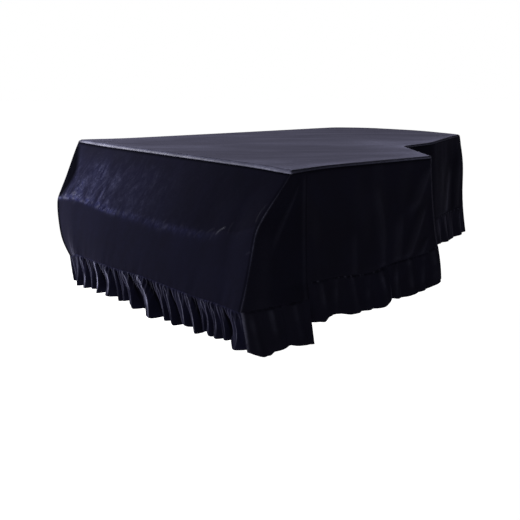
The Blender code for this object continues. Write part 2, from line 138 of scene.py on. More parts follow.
FRONT_SECTIONS = (
    Section(-0.759, 0.131, 0.256, 0.010, 0.008, 0.122, 0.503, 0.104),
    Section(-0.560, 0.137, 0.240, 0.014, 0.006, 0.150, 0.478, 0.030),
    Section(-0.220, 0.140, 0.258, 0.018, 0.006, 0.167, 0.472, 0.004),
    Section(0.080, 0.138, 0.251, 0.020, 0.006, 0.168, 0.462, 0.000),
    Section(0.420, 0.140, 0.245, 0.026, 0.004, 0.168, 0.466, 0.000),
    Section(0.600, 0.142, 0.222, 0.032, 0.002, 0.176, 0.458, -0.008),
    Section(0.759, 0.150, 0.182, 0.036, 0.000, 0.190, 0.455, -0.024),
)


class HemPoint(NamedTuple):
    """The front ruffle's mean hem at one place across."""

    across: float
    out: float
    drop: float
    tuck: float


FRONT_HEM = (
    HemPoint(-0.759, 0.110, 0.606, 0.112),
    HemPoint(-0.560, 0.140, 0.608, 0.036),
    HemPoint(-0.220, 0.158, 0.608, 0.006),
    HemPoint(0.080, 0.158, 0.606, 0.000),
    HemPoint(0.420, 0.156, 0.603, 0.000),
    HemPoint(0.600, 0.160, 0.596, -0.006),
    HemPoint(0.759, 0.170, 0.586, -0.014),
)


class Hang(NamedTuple):
    """How the skirt hangs at a fraction of a side panel's length."""

    along: float
    seam_drop: float
    seam_out: float
    hem_drop: float
    hem_out: float


TREBLE_JOINT = (0.338, 0.034, 0.468, 0.054)
TAIL_JOINT = (0.352, 0.042, 0.480, 0.064)
BASS_JOINT = (0.364, 0.030, 0.488, 0.052)
TREBLE_HANG = (
    Hang(0.00, 0.386, 0.012, 0.524, 0.014),
    Hang(0.20, 0.386, 0.014, 0.513, 0.030),
    Hang(0.45, 0.394, 0.018, 0.529, 0.040),
    Hang(0.72, 0.373, 0.016, 0.504, 0.036),
    Hang(0.90, 0.362, 0.024, 0.490, 0.044),
    Hang(1.00, *TREBLE_JOINT),
)
BENTSIDE_HANG = (
    Hang(0.00, *TREBLE_JOINT),
    Hang(0.12, 0.352, 0.026, 0.470, 0.046),
    Hang(0.38, 0.350, 0.016, 0.466, 0.032),
    Hang(0.55, 0.344, 0.020, 0.462, 0.036),
    Hang(0.80, 0.350, 0.022, 0.482, 0.042),
    Hang(1.00, *TAIL_JOINT),
)
TAIL_HANG = (
    Hang(0.00, *TAIL_JOINT),
    Hang(0.14, 0.372, 0.022, 0.496, 0.042),
    Hang(0.50, 0.380, 0.016, 0.505, 0.036),
    Hang(0.84, 0.376, 0.020, 0.500, 0.040),
    Hang(1.00, *BASS_JOINT),
)
BASS_HANG = (
    Hang(0.00, *BASS_JOINT),
    Hang(0.12, 0.382, 0.018, 0.506, 0.038),
    Hang(0.40, 0.388, 0.015, 0.512, 0.034),
    Hang(0.72, 0.384, 0.018, 0.508, 0.036),
    Hang(1.00, 0.386, 0.012, 0.522, 0.014),
)


# ------------------------------------------------------------------ small maths
def smooth(value: float) -> float:
    """Ease a 0..1 value in and out."""
    value = min(max(value, 0.0), 1.0)
    return value * value * (3.0 - 2.0 * value)


def rising(value: float, start: float, reach: float) -> float:
    """0 up to a start, easing to 1 over the reach beyond it."""
    return smooth((value - start) / reach)


def falling(value: float, end: float, reach: float) -> float:
    """1 until it eases to 0 over the reach before an end."""
    return smooth((end - value) / reach)


def bump(offset: float) -> float:
    """A hump of height 1 over -1..1 and nothing beyond."""
    return math.cos(offset * math.pi / 2) ** 2 if abs(offset) < 1.0 else 0.0


def bell(offset: float) -> float:
    """A bell of height 1 that has fallen to about a third at 1 and at -1."""
    return math.exp(-(offset ** 2))


def read_table(rows: Sequence[tuple[float, ...]], place: float) -> tuple[float, ...]:
    """Read the columns after the first from a table, eased between its rows.

    Args:
        rows: The table, in the order of its first column.
        place: Where to read it.

    Returns:
        The other columns' values there.
    """
    for low, high in zip(rows, rows[1:]):
        if place <= high[0]:
            mix = smooth((place - low[0]) / (high[0] - low[0]))
            return tuple(a + (b - a) * mix for a, b in zip(low[1:], high[1:]))
    return tuple(rows[-1][1:])


def even(count: int) -> list[float]:
    """Fractions from 0 to 1 in equal steps."""
    return [step / count for step in range(count + 1)]


def graded(length: float, step: float) -> list[float]:
    """Fractions from 0 to 1 along a length, with extra lines near both ends.

    Args:
        length: The whole length.
        step: The longest step between the extra lines.

    Returns:
        The fractions, in rising order.
    """
    near = [0.0, *RIM_LINES]
    middle = length - 2 * near[-1]
    count = max(1, math.ceil(middle / step))
    inner = [near[-1] + middle * (index + 1) / count for index in range(count - 1)]
    far = [length - place for place in reversed(near)]
    return [place / length for place in [*near, *inner, *far]]


def drift(x: float, y: float, seed: float) -> float:
    """Smooth noise in -1..1 at a place of a cloth, different for each seed."""
    return noise.noise(Vector((x, y, seed * 7.31)))


class Settle(NamedTuple):
    """A soft pull that takes the used cloth off its plain shape round one place of the cover."""

    centre: Vector
    reach: float
    shift: Vector


SETTLES = (
    Settle(Vector((0.759, 0.000, -0.010)), 0.120, Vector((0.011, -0.003, -0.004))),
    Settle(Vector((0.110, 1.635, -0.130)), 0.150, Vector((0.016, 0.015, 0.002))),
    Settle(Vector((-0.100, 1.620, 0.000)), 0.450, Vector((0.000, 0.000, 0.006))),
    Settle(Vector((-0.710, -0.125, -0.450)), 0.080, Vector((-0.011, -0.005, 0.000))),
    Settle(Vector((0.780, 0.710, -0.410)), 0.090, Vector((0.006, 0.006, 0.000))),
    Settle(Vector((-0.759, -0.020, -0.050)), 0.090, Vector((-0.006, -0.003, 0.000))),
    Settle(Vector((-0.650, -0.120, -0.600)), 0.120, Vector((-0.026, 0.000, -0.016))),
    Settle(Vector((-0.759, 0.000, -0.010)), 0.150, Vector((0.000, 0.000, 0.004))),
)


def settled(point: Vector) -> Vector:
    """A point of the plain shape where the used cloth has it, in the frame's own place."""
    moved = point.copy()
    moved.z += LOFT * smooth(1.0 + point.z / LOFT_REACH)
    for settle in SETTLES:
        distance = (point - settle.centre).length / settle.reach
        if distance < 3.0:
            moved += settle.shift * bell(distance)
    return moved + FRAME_SHIFT


# ------------------------------------------------------------------ the lid's edge
class Leg(NamedTuple):
    """A straight stretch or an arc of the lid's edge."""

    start: Vector
    end: Vector
    centre: Vector | None
    turn: float
    length: float


class LidEdge:
    """The lid's rounded outline, measured from its front treble corner round to the bass one."""

    def __init__(self, corners: Sequence[Corner]) -> None:
        """Work out the straight legs and arcs between the corners."""
        self.names = [corner.name for corner in corners]
        points = [Vector((corner.x, corner.y)) for corner in corners]
        self.legs: list[Leg] = []
        at = points[0]
        for before, corner, after, data in zip(points, points[1:], points[2:], corners[1:]):
            into = (corner - before).normalized()
            out = (after - corner).normalized()
            turn = math.atan2(into.x * out.y - into.y * out.x, into.dot(out))
            reach = data.radius * math.tan(abs(turn) / 2)
            arc_start = corner - into * reach
            arc_end = corner + out * reach
            self.legs.append(Leg(at, arc_start, None, 0.0, (arc_start - at).length))
            side = Vector((-into.y, into.x)) * math.copysign(1.0, turn)
            centre = arc_start + side * data.radius
            self.legs.append(Leg(arc_start, arc_end, centre, turn, data.radius * abs(turn)))
            at = arc_end
        self.legs.append(Leg(at, points[-1], None, 0.0, (points[-1] - at).length))
        self.length = sum(leg.length for leg in self.legs)

    def at(self, distance: float) -> tuple[Vector, Vector]:
        """The edge's point and its outward direction at a distance from the front treble corner."""
        for leg in self.legs:
            if distance <= leg.length or leg is self.legs[-1]:
                break
            distance -= leg.length
        if leg.centre is None:
            along = (leg.end - leg.start).normalized()
            return leg.start + along * distance, Vector((along.y, -along.x))
        arm = leg.start - leg.centre
        arm.rotate(Matrix.Rotation(leg.turn * distance / leg.length, 2))
        return leg.centre + arm, arm.normalized() * math.copysign(1.0, leg.turn)

    def arc_middle(self, name: str) -> float:
        """Distance to the middle of a named corner's arc."""
        index = self.names.index(name)
        before = sum(leg.length for leg in self.legs[: 2 * index - 1])
        return before + self.legs[2 * index - 1].length / 2

    def stations(self, start: float, end: float, step: float, arc_step: float) -> list[float]:
        """Distances from start to end, closer together round the corners.

        Args:
            start: Where the run starts.
            end: Where it ends.
            step: The longest straight step.
            arc_step: The widest turn of a step round an arc, in radians.

        Returns:
            The distances, start and end among them.
        """
        marks = [start]
        at = 0.0
        for leg in self.legs:
            low = max(at, start)
            high = min(at + leg.length, end)
            at += leg.length
            if high - low < TINY:
                continue
            count = math.ceil((high - low) / step)
            if leg.centre is not None:
                turn = abs(leg.turn) * (high - low) / leg.length
                count = max(count, math.ceil(turn / arc_step))
            marks += [low + (high - low) * (index + 1) / count for index in range(count)]
        return marks


EDGE = LidEdge(OUTLINE)
TREBLE_TURN = EDGE.arc_middle("treble_corner")
TAIL_TREBLE_TURN = EDGE.arc_middle("tail_treble")
TAIL_BASS_TURN = EDGE.arc_middle("tail_bass")
BASS_SLIT = EDGE.length - SLIT_REACH


# ------------------------------------------------------------------ one sheet of cloth
class Spot(NamedTuple):
    """One point of a sheet: its outer place, the way to its inner face, its flat place and its marks,
    painted sheen, highlight and shade among them.
    """

    place: Vector
    inward: Vector
    along: float
    fall: float
    press_and_sheen: float = 0.0
    rub: float = 0.0
    lean: float = 0.0


Rows = list[list[Spot]]


class MarksAndLight(Enum):
    """The marks a sheet carries as attributes: pressed pile with painted sheen, pale scuffs with painted
    highlights, and painted shade.
    """

    PRESS_AND_SHEEN = "press_and_sheen"
    RUB = "rub"
    LEAN = "lean"


def relieve(rows: Rows, height: Callable[[int, int, Spot], float]) -> Rows:
    """Raise or sink a sheet's points along its own normals.

    Args:
        rows: The sheet's points.
        height: How far the point at a row and column is raised.

    Returns:
        The moved points.
    """
    last_row = len(rows) - 1
    last_column = len(rows[0]) - 1
    moved: Rows = []
    for r, row in enumerate(rows):
        line = []
        above = rows[max(r - 1, 0)]
        below = rows[min(r + 1, last_row)]
        for c, spot in enumerate(row):
            across = row[min(c + 1, last_column)].place - row[max(c - 1, 0)].place
            normal = across.cross(below[c].place - above[c].place)
            if normal.dot(spot.inward) > 0.0:
                normal.negate()
            normal.normalize()
            line.append(spot._replace(place=spot.place + normal * height(r, c, spot)))
        moved.append(line)
    return moved


@dataclass
class ClothSheet:
    """A closed sheet of cloth made from rows of points."""

    name: str
    rows: Rows
    flat: tuple[float, float]
    held: str
    area: float | None = None

    def _pulled(self, face: int) -> list[list[Vector]]:
        """One face's points, with its rim drawn in by half a seam's gap."""
        grid = [[spot.place + spot.inward * face for spot in row] for row in self.rows]
        half = SEAM_GAP / 2
        moved = [[point.copy() for point in row] for row in grid]
        for r, row in enumerate(grid):
            moved[r][0] += (row[1] - row[0]).normalized() * half
            moved[r][-1] += (row[-2] - row[-1]).normalized() * half
        for c in range(len(grid[0])):
            moved[0][c] += (grid[1][c] - grid[0][c]).normalized() * half
            moved[-1][c] += (grid[-2][c] - grid[-1][c]).normalized() * half
        return moved

    def build(self) -> bpy.types.Object:
        """Make the sheet's object.

        Returns:
            The object, at the origin, with its UV map in metres and its mark attributes, which carry
            painted sheen, highlight and shade.
        """
        count_rows = len(self.rows)
        count_columns = len(self.rows[0])
        mesh = marked_mesh()
        bmesh.ops.create_grid(mesh, x_segments=count_columns - 1, y_segments=count_rows - 1, size=0.5)

        def cell(vertex: bmesh.types.BMVert) -> tuple[int, int]:
            """The row and column of a vertex of the plain grid."""
            column = round((vertex.co.x + 0.5) * (count_columns - 1))
            return round((vertex.co.y + 0.5) * (count_rows - 1)), column

        cells = {vertex: (*cell(vertex), 0) for vertex in mesh.verts}
        bmesh.ops.extrude_face_region(mesh, geom=mesh.faces[:], use_keep_orig=True)
        for vertex in mesh.verts:
            if vertex not in cells:
                cells[vertex] = (*cell(vertex), 1)
        return self._finish(mesh, cells)

    def _finish(self, mesh: bmesh.types.BMesh, cells: dict) -> bpy.types.Object:
        """Place the vertices, write their flat places and marks with their painted light, and link the
        object.

        Args:
            mesh: The closed plain grid.
            cells: Each vertex's row, column and face, 0 for the outer face and 1 for the inner.

        Returns:
            The object.
        """
        layers = {channel.value: mesh.verts.layers.float[channel.value] for channel in MarksAndLight}
        faces = (self._pulled(0), self._pulled(1))
        for vertex, (row, column, face) in cells.items():
            spot = self.rows[row][column]
            vertex.co = settled(faces[face][row][column])
            for channel, layer in layers.items():
                vertex[layer] = getattr(spot, channel)
        flat_map = mesh.loops.layers.uv[FLAT_MAP]
        for polygon in mesh.faces:
            for loop in polygon.loops:
                row, column, _ = cells[loop.vert]
                spot = self.rows[row][column]
                loop[flat_map].uv = (spot.along, spot.fall)
        return link_closed(self.name, mesh)


def linked(data: bpy.types.ID) -> bpy.types.Object:
    """A new object of the data's own name, linked to the scene."""
    made = bpy.data.objects.new(data.name, data)
    bpy.context.scene.collection.objects.link(made)
    return made


def set_inputs(node: bpy.types.Node, values: dict[str, object]) -> None:
    """Set a node's own sockets by their names."""
    for name, value in values.items():
        node.inputs[name].default_value = value


def marked_mesh() -> bmesh.types.BMesh:
    """An empty mesh with the mark attributes, for painted sheen, highlight and shade among them, and the
    flat map.
    """
    mesh = bmesh.new()
    for channel in MarksAndLight:
        mesh.verts.layers.float.new(channel.value)
    mesh.loops.layers.uv.new(FLAT_MAP)
    return mesh


def link_closed(name: str, mesh: bmesh.types.BMesh) -> bpy.types.Object:
    """Turn a closed bmesh's faces outwards and link it as a smooth object.

    Args:
        name: The node that the object stands for.
        mesh: The closed mesh, which is freed.

    Returns:
        The object.
    """
    bmesh.ops.recalc_face_normals(mesh, faces=mesh.faces)
    if mesh.calc_volume(signed=True) < 0.0:
        bmesh.ops.reverse_faces(mesh, faces=mesh.faces)
    data = bpy.data.meshes.new(f"{name}_cloth")
    mesh.to_mesh(data)
    mesh.free()
    data.shade_smooth()
    data.set_sharp_from_angle(angle=SHARP_ANGLE)
    return linked(data)


# ------------------------------------------------------------------ seams and folds
@dataclass(frozen=True)
class Seam:
    """How cloth stands up beside a sewn seam."""

    lift: float = 0.0009
    reach: float = 0.008
    pucker: float = 0.0012
    pucker_reach: float = 0.022
    pucker_pitch: float = 0.016
    rub_reach: float = 0.0032
    lid_reach: float = 0.004

    def height(self, distance: float, along: float, seed: float) -> float:
        """How far the cloth stands up at a distance from the seam."""
        shoulder = self.lift * smooth(distance / self.reach)
        fade = math.exp(-distance / self.pucker_reach) * smooth(distance / self.reach)
        return shoulder + self.pucker * fade * drift(along / self.pucker_pitch, 0.0, seed)

    def rims(self, side: float, down: float, foot: float, along: float,
             seeds: tuple[float, float]) -> float:
        """The cloth's height beside its side seams, its foot's seam and the lid's seam, the lowest.

        Args:
            side: Distance from the side seam.
            down: Distance from the lid's seam.
            foot: Distance from the ruffle's seam.
            along: Distance along the ruffle's seam.
            seeds: The seeds of the side seam's and the foot seam's puckers.

        Returns:
            The height.
        """
        return min(self.height(side, down, seeds[0]), self.height(foot, along, seeds[1]),
                   self.lift * smooth(down / self.lid_reach))

    def rub(self, distance: float) -> float:
        """How pale the seam line is at a distance from the seam, partly scuffed nap and partly a painted
        highlight.
        """
        return bell(distance / self.rub_reach)


class Fold(NamedTuple):
    """A soft ridge or trough of a panel, from its top to its foot.

    Along is in metres from the panel's start, drop is a fraction of its height, and the height and
    the half widths are in metres. A sharper fold has a smaller half width on one side.
    """

    top_along: float
    top_drop: float
    foot_along: float
    foot_drop: float
    height: float
    before: float
    after: float


def fold_height(folds: Sequence[Fold], along: float, drop: float) -> float:
    """How far a panel's folds push its cloth out.

    Args:
        folds: The panel's folds.
        along: Distance from the panel's start.
        drop: Fraction of the panel's height.

    Returns:
        The height of the cloth over its plain shape.
    """
    height = 0.0
    for fold in folds:
        part = (drop - fold.top_drop) / (fold.foot_drop - fold.top_drop)
        if part <= 0.0:
            continue
        crest = fold.top_along + (fold.foot_along - fold.top_along) * part
        width = fold.before if along < crest else fold.after
        fade = smooth(part * 2.5)
        if part > 1.0:
            fade *= bell((part - 1.0) / 0.25)
        height += fold.height * fade * bell((along - crest) / width)
    return height


# ------------------------------------------------------------------ ruffles
class Gather(NamedTuple):
    """A gather's crest, which sweeps along the seam from its top to the hem.

    The crest runs on a curve from its place under the seam, past its bend, to its place at the
    hem. The half width and the depth are the fold's own at the hem, and the shine says how strong
    the painted highlight along the crest is.
    """

    top: float
    bend: float
    hem: float
    half_width: float
    depth: float
    shine: float

    def crest(self, fall: float) -> float:
        """The crest's distance along the seam at a fraction of the ruffle's height."""
        left = 1.0 - fall
        return left * left * self.top + 2.0 * left * fall * self.bend + fall * fall * self.hem


FRONT_GATHERS = (
    Gather(0.050, 0.060, 0.045, 0.040, 0.018, 0.3),
    Gather(0.120, 0.135, 0.105, 0.040, 0.022, 0.3),
    Gather(0.191, 0.212, 0.165, 0.042, 0.028, 0.5),
    Gather(0.225, 0.295, 0.250, 0.042, 0.032, 1.4),
    Gather(0.335, 0.350, 0.336, 0.044, 0.026, 0.6),
    Gather(0.388, 0.465, 0.425, 0.040, 0.038, 2.0),
    Gather(0.500, 0.585, 0.540, 0.050, 0.042, 1.7),
    Gather(0.590, 0.605, 0.596, 0.026, 0.018, 0.2),
    Gather(0.645, 0.658, 0.650, 0.030, 0.020, 0.3),
    Gather(0.660, 0.745, 0.735, 0.046, 0.034, 0.8),
    Gather(0.785, 0.895, 0.890, 0.060, 0.044, 2.2),
    Gather(0.930, 0.970, 0.978, 0.034, 0.026, 0.4),
    Gather(0.990, 1.025, 1.035, 0.036, 0.030, 0.4),
    Gather(1.080, 1.115, 1.122, 0.046, 0.032, 0.6),
    Gather(1.140, 1.180, 1.195, 0.036, 0.034, 0.8),
    Gather(1.228, 1.238, 1.232, 0.024, 0.022, 0.3),
    Gather(1.250, 1.300, 1.275, 0.030, 0.030, 0.6),
    Gather(1.305, 1.352, 1.320, 0.034, 0.028, 0.4),
    Gather(1.362, 1.380, 1.378, 0.034, 0.022, 0.2),
    Gather(1.445, 1.525, 1.455, 0.054, 0.036, 0.4),
)


@dataclass
class Ruffle:
    """A gathered strip sewn under a panel.

    A gather rises gently towards its crest and falls away steeply behind it, by as much as the
    skew says, and shade is painted into the hollows between the gathers and down the skirt.
    """

    name: str
    seam: list[Spot]
    hem_at: Callable[[float], Vector]
    outward_at: Callable[[float], Vector]
    gathers: Sequence[Gather]
    seed: int
    skew: float = 0.15
    tuck_pitch: float = 0.021
    tuck_depth: float = 0.0030
    # Painted highlight on the small tucks under the seam.
    tuck_shine: float = 0.0
    calm: float = 0.025
    fullness: float = 1.25
    fill: float = 1.0
    press_and_sheen: float = PLAIN_PRESS_AND_SHEEN
    # Pale specks along the seam.
    seam_rub: float = 0.0
    # Painted highlight down the corner's edge.
    corner_rub: float = 0.0
    stitch_reach: float = 0.004
    crest_width: float = 0.0018
    strand_width: float = 0.0016
    flutter: float = 0.0025
    ripple: float = 0.004
    # Painted shade in the hollows between the gathers and down the skirt.
    hollow_lean: float = 0.0
    hollow_depth: float = 0.020
    hem_steps: Steps = LEVEL_HEM

    FALLS = (0.0, 0.010, 0.022, 0.04, 0.065, 0.095, 0.13, 0.17, 0.215, 0.26, 0.31, 0.36, 0.415, 0.47,
             0.525, 0.58, 0.635, 0.69, 0.745, 0.80, 0.85, 0.895, 0.935, 0.965, 0.985, 1.0)

    def tucks(self, length: float) -> list[Gather]:
        """The small tucks that the sewing makes under the seam, which merge into the gathers."""
        chance = random.Random(self.seed)
        found = []
        at = 0.0
        while at < length:
            pitch = self.tuck_pitch * chance.uniform(*TUCK_PITCHES)
            middle = at + pitch / 2
            deep = self.tuck_depth * chance.uniform(*TUCK_DEPTHS)
            found.append(Gather(middle, middle, middle + pitch * 0.3, pitch * 0.62, deep, 0.0))
            at += pitch
        return found

    def _speck(self, along: float) -> float:
        """How pale the specks along the seam are, in short uneven stretches."""
        return smooth(3.0 * drift(along / 0.014, 0.0, self.seed + 6.0) - 0.3)

    def _profile(self, distance: float, half_width: float) -> float:
        """A gather's height at a distance past its crest, from 1 on the crest to 0 at its feet."""
        if distance < 0.0:
            return max(0.0, 1.0 - (-distance / (half_width * (1.0 + self.skew))) ** 1.8)
        return max(0.0, 1.0 - (distance / (half_width * (1.0 - 0.85 * self.skew))) ** 2)

    def _crest_shine(self, gather: Gather, past: float, fall: float) -> float:
        """The painted highlight on a gather's crest: a line that widens down the skirt and a strand
        before it.
        """
        wide = self.crest_width * (0.67 if past > 0.0 else 1.0 + 1.4 * fall * gather.shine)
        strand = past + 0.009 + 0.006 * drift(gather.top * 17, fall * 1.2, self.seed + 7.0)
        near = bell(past / wide) + 0.5 * smooth(gather.shine - 0.3) * bell(strand / self.strand_width)
        uneven = 0.80 + 1.3 * drift(gather.top * 31, fall * 3.4, self.seed + 2.5)
        return gather.shine * near * uneven

    def _ripple(self, along: float) -> float:
        """The hem's short waves, up and down."""
        ripple = drift(along / 0.06, 0.0, self.seed + 3.0) * 0.5
        return ripple + drift(along / 0.023, 0.0, self.seed + 5.0) * 0.25

    def _painted_light_and_scuffs(self, along: float, fall: float, down: float, shine: float) -> float:
        """Painted highlights on the crests and down the corner's edge, and pale specks at the seam."""
        specks = self.seam_rub * self._speck(along) * bell(down / self.stitch_reach)
        corner = bell((along - 0.003) / 0.0055) * (1.0 - 0.5 * smooth(fall * 1.4 - 0.4))
        return max(shine + specks, self.corner_rub * corner)

    def _stand_out(self, along: float, fall: float, length: float, tucks: Sequence[Gather],
                   ) -> tuple[float, float, float]:
        """How far the cloth stands out from the strip's mean surface, and the highlight and shade painted
        there.

        Args:
            along: Distance along the seam.
            fall: Fraction of the ruffle's height.
            length: The seam's length.
            tucks: The small tucks under the seam.

        Returns:
            The distance outwards, the painted highlight on a crest and the painted shade in a hollow and
            towards the hem.
        """
        main = 0.0
        shine = 0.0
        for gather in self.gathers:
            past = along - gather.crest(fall)
            if abs(past) > gather.half_width * 2.0:
                continue
            main = max(main, gather.depth * self._profile(past, gather.half_width))
            shine = max(shine, self._crest_shine(gather, past, fall))
        small = 0.0
        for tuck in tucks:
            offset = (along - tuck.crest(fall)) / tuck.half_width
            if abs(offset) < 1.0:
                small = max(small, tuck.depth * math.cos(offset * math.pi / 2))
                tick = self.tuck_shine * tuck.depth / self.tuck_depth * bell(offset / 0.16)
                shine = max(shine, tick * (1.0 - rising(fall, 0.12, 0.40)))
        mean = sum(g.depth * g.half_width for g in self.gathers) * GATHER_AREA / length
        grow = (0.16 + 0.84 * smooth(fall * 0.85 + 0.08)) * smooth(fall / 0.09)
        settle = smooth(fall / 0.05) * (1.0 - 0.85 * smooth(fall * 1.8))
        ends = smooth(along / self.calm) * falling(along, length, self.calm)
        flutter = self.flutter * fall * drift(along / 0.035, fall * 1.5, self.seed + 0.5)
        shine *= smooth(fall / 0.10) * (1.0 - 0.75 * rising(fall, 0.50, 0.45)) * ends
        # Painted shade: darker in the hollows between the gathers and lower down the skirt.
        low = rising(fall, 0.35, 0.50)
        hollow = smooth(1.0 - main / self.hollow_depth) * smooth(fall / 0.12) * ends * (1.0 - 0.30 * low)
        stand = self.fill * (main - mean) * grow + small * settle + flutter
        foot = 0.22 * smooth(fall / 0.10) + 0.24 * low
        return stand * ends, shine, self.hollow_lean * max(hollow, foot)

    def build(self) -> ClothSheet:
        """Make the ruffle's sheet."""
        lengths = [spot.along - self.seam[0].along for spot in self.seam]
        whole = lengths[-1]
        sewn = run_length(self.seam)
        tucks = self.tucks(whole)
        rows = []
        height = 0.0
        for fall in self.FALLS:
            line = []
            for spot, along in zip(self.seam, lengths):
                hem = self.hem_at(along / whole)
                height = (hem - spot.place).length
                out, shine, lean = self._stand_out(along, fall, whole, tucks)
                point = spot.place.lerp(hem, fall) + self.outward_at(along / whole) * out
                ends = smooth(along / 0.03) * falling(along, whole, 0.03)
                point.z += self.ripple * self._ripple(along) * fall * ends
                point.z -= read_table(self.hem_steps, along)[0] * fall
                rub = self._painted_light_and_scuffs(along, fall, fall * height, shine)
                line.append(Spot(point, spot.inward, along * self.fullness, 1.0 - fall * height,
                                 self.press_and_sheen, rub, lean))
            rows.append(line)
        return ClothSheet(self.name, rows, (sewn * self.fullness, height), "gathered")


def uneven_gathers(length: float, pitch: float, depth: float, seed: int) -> list[Gather]:
    """Crests at an uneven pitch along a ruffle.

    Args:
        length: The ruffle's length.
        pitch: The mean pitch.
        depth: The mean depth.
        seed: The seed of the unevenness.

    Returns:
        The crests.
    """
    chance = random.Random(seed)
    gathers = []
    at = pitch / 2
    while at < length - pitch / 2:
        wide = pitch * chance.uniform(*GATHER_PITCHES)
        deep = depth * chance.uniform(*GATHER_DEPTHS)
        gathers.append(Gather(at - GATHER_SWEEP, at, at + GATHER_SWEEP, wide / 2, deep, GATHER_SHINE))
        at += wide
    return gathers


def run_length(line: Sequence[Spot]) -> float:
    """The length of a row of spots."""
    return sum((high.place - low.place).length for low, high in zip(line, line[1:]))


def split(line: Sequence[Spot], parts: int) -> list[Spot]:
    """Divide each step of a row of spots into equal parts."""
    found = []
    for low, high in zip(line, line[1:]):
        for part in range(parts):
            mix = part / parts
            found.append(Spot(low.place.lerp(high.place, mix), low.inward.lerp(high.inward, mix),
                              low.along + (high.along - low.along) * mix, low.fall))
    found.append(line[-1])
    return found


# ------------------------------------------------------------------ the front flap
def front_point(across: float, fraction: float) -> Vector:
    """The front panel's plain outer face, from the lid's edge (0) down to the ruffle's seam (1)."""
    section = Section(across, *read_table(FRONT_SECTIONS, across))
    top = Vector((FRONT_ROLL_REACH, FRONT_ROLL_DROP))
    crease = Vector((section.crease_out, section.crease_drop))
    foot = Vector((section.foot_out, section.foot_drop))
    slope = crease - top
    fall = foot - crease
    past = fraction * (slope.length + fall.length) - slope.length
    slope_way = slope.normalized()
    fall_way = fall.normalized()
    rounding = section.crease_round * smooth(6.0 * fraction * (1.0 - fraction))
    bent = math.hypot(past, rounding)
    place = crease + (slope_way + fall_way) * past / 2 + (fall_way - slope_way) * bent / 2
    below = max(past, 0.0) / fall.length
    out = place.x + section.belly * 4.0 * below * (1.0 - below)
    return Vector((across + section.tuck * below ** TUCK_POWER, -out, -place.y))


def front_hem_point(across: float) -> Vector:
    """The front ruffle's mean hem below a point of the front panel."""
    out, drop, tuck = read_table(FRONT_HEM, across)
    return Vector((across + tuck, -out, -drop))


def front_inward(across: float) -> Vector:
    """The front panel's thickness towards the piano, mitred with the cheek's at its corners."""
    at_corner = abs(across) > LID_HALF_WIDTH - TINY
    return Vector((-math.copysign(CLOTH, across) if at_corner else 0.0, CLOTH, 0.0))


class Scratch(NamedTuple):
    """A short pressed line in the nap, in metres across and below the crease."""

    across: float
    below: float
    length: float
    tilt: float
    depth: float

    def rub(self, across: float, below: float) -> float:
        """How pale the scratch makes the nap at a place."""
        turn = math.radians(self.tilt)
        x = across - self.across
        y = self.below - below
        run = x * math.cos(turn) + y * math.sin(turn)
        off = -x * math.sin(turn) + y * math.cos(turn) + run * run * 4.0
        ends = smooth((self.length / 2 - abs(run)) / 0.012)
        return self.depth * ends * bell(off / 0.0024)


SCRATCHES = (
    Scratch(0.176, -0.020, 0.040, 55.0, 0.025),
    Scratch(0.410, -0.002, 0.070, 42.0, 0.030),
    Scratch(0.478, -0.018, 0.060, 28.0, 0.025),
    Scratch(0.500, 0.004, 0.050, 60.0, 0.030),
    Scratch(0.540, -0.018, 0.062, 33.0, 0.15),
    Scratch(0.590, -0.030, 0.060, 80.0, 0.020),
    Scratch(0.728, -0.075, 0.090, 88.0, 0.030),
    Scratch(0.736, 0.085, 0.034, 24.0, 0.060),
)


def crease_fraction(across: float) -> float:
    """Where the front panel's crease lies on its way from the lid (0) to the ruffle (1)."""
    section = Section(across, *read_table(FRONT_SECTIONS, across))
    slope = math.hypot(section.crease_out - FRONT_ROLL_REACH, section.crease_drop - FRONT_ROLL_DROP)
    fall = math.hypot(section.foot_out - section.crease_out, section.foot_drop - section.crease_drop)
    return slope / (slope + fall)


class Nap(NamedTuple):
    """The pile at a place: pressed with painted sheen, pale with scratches and painted highlights, its
    painted shade, and how much the cloth crumples there.
    """

    press_and_sheen: float
    rub: float
    lean: float
    crumple: float


class FlapPlace(NamedTuple):
    """A place of the front panel: its distances from the middle, the lid, the crease and the side."""

    across: float
    fraction: float
    down: float
    below: float
    side: float

    @property
    def above(self) -> float:
        """1 on the slope above the crease and 0 on the drop below it."""
        return smooth(-self.below / 0.020)

    @property
    def bass(self) -> float:
        """1 at the bass end and 0 from the middle on."""
        return falling(self.across, -0.26, 0.34)

    @property
    def treble(self) -> float:
        """0 at the bass end, rising to 1 towards the treble end."""
        return rising(self.across, -0.35, 0.5)


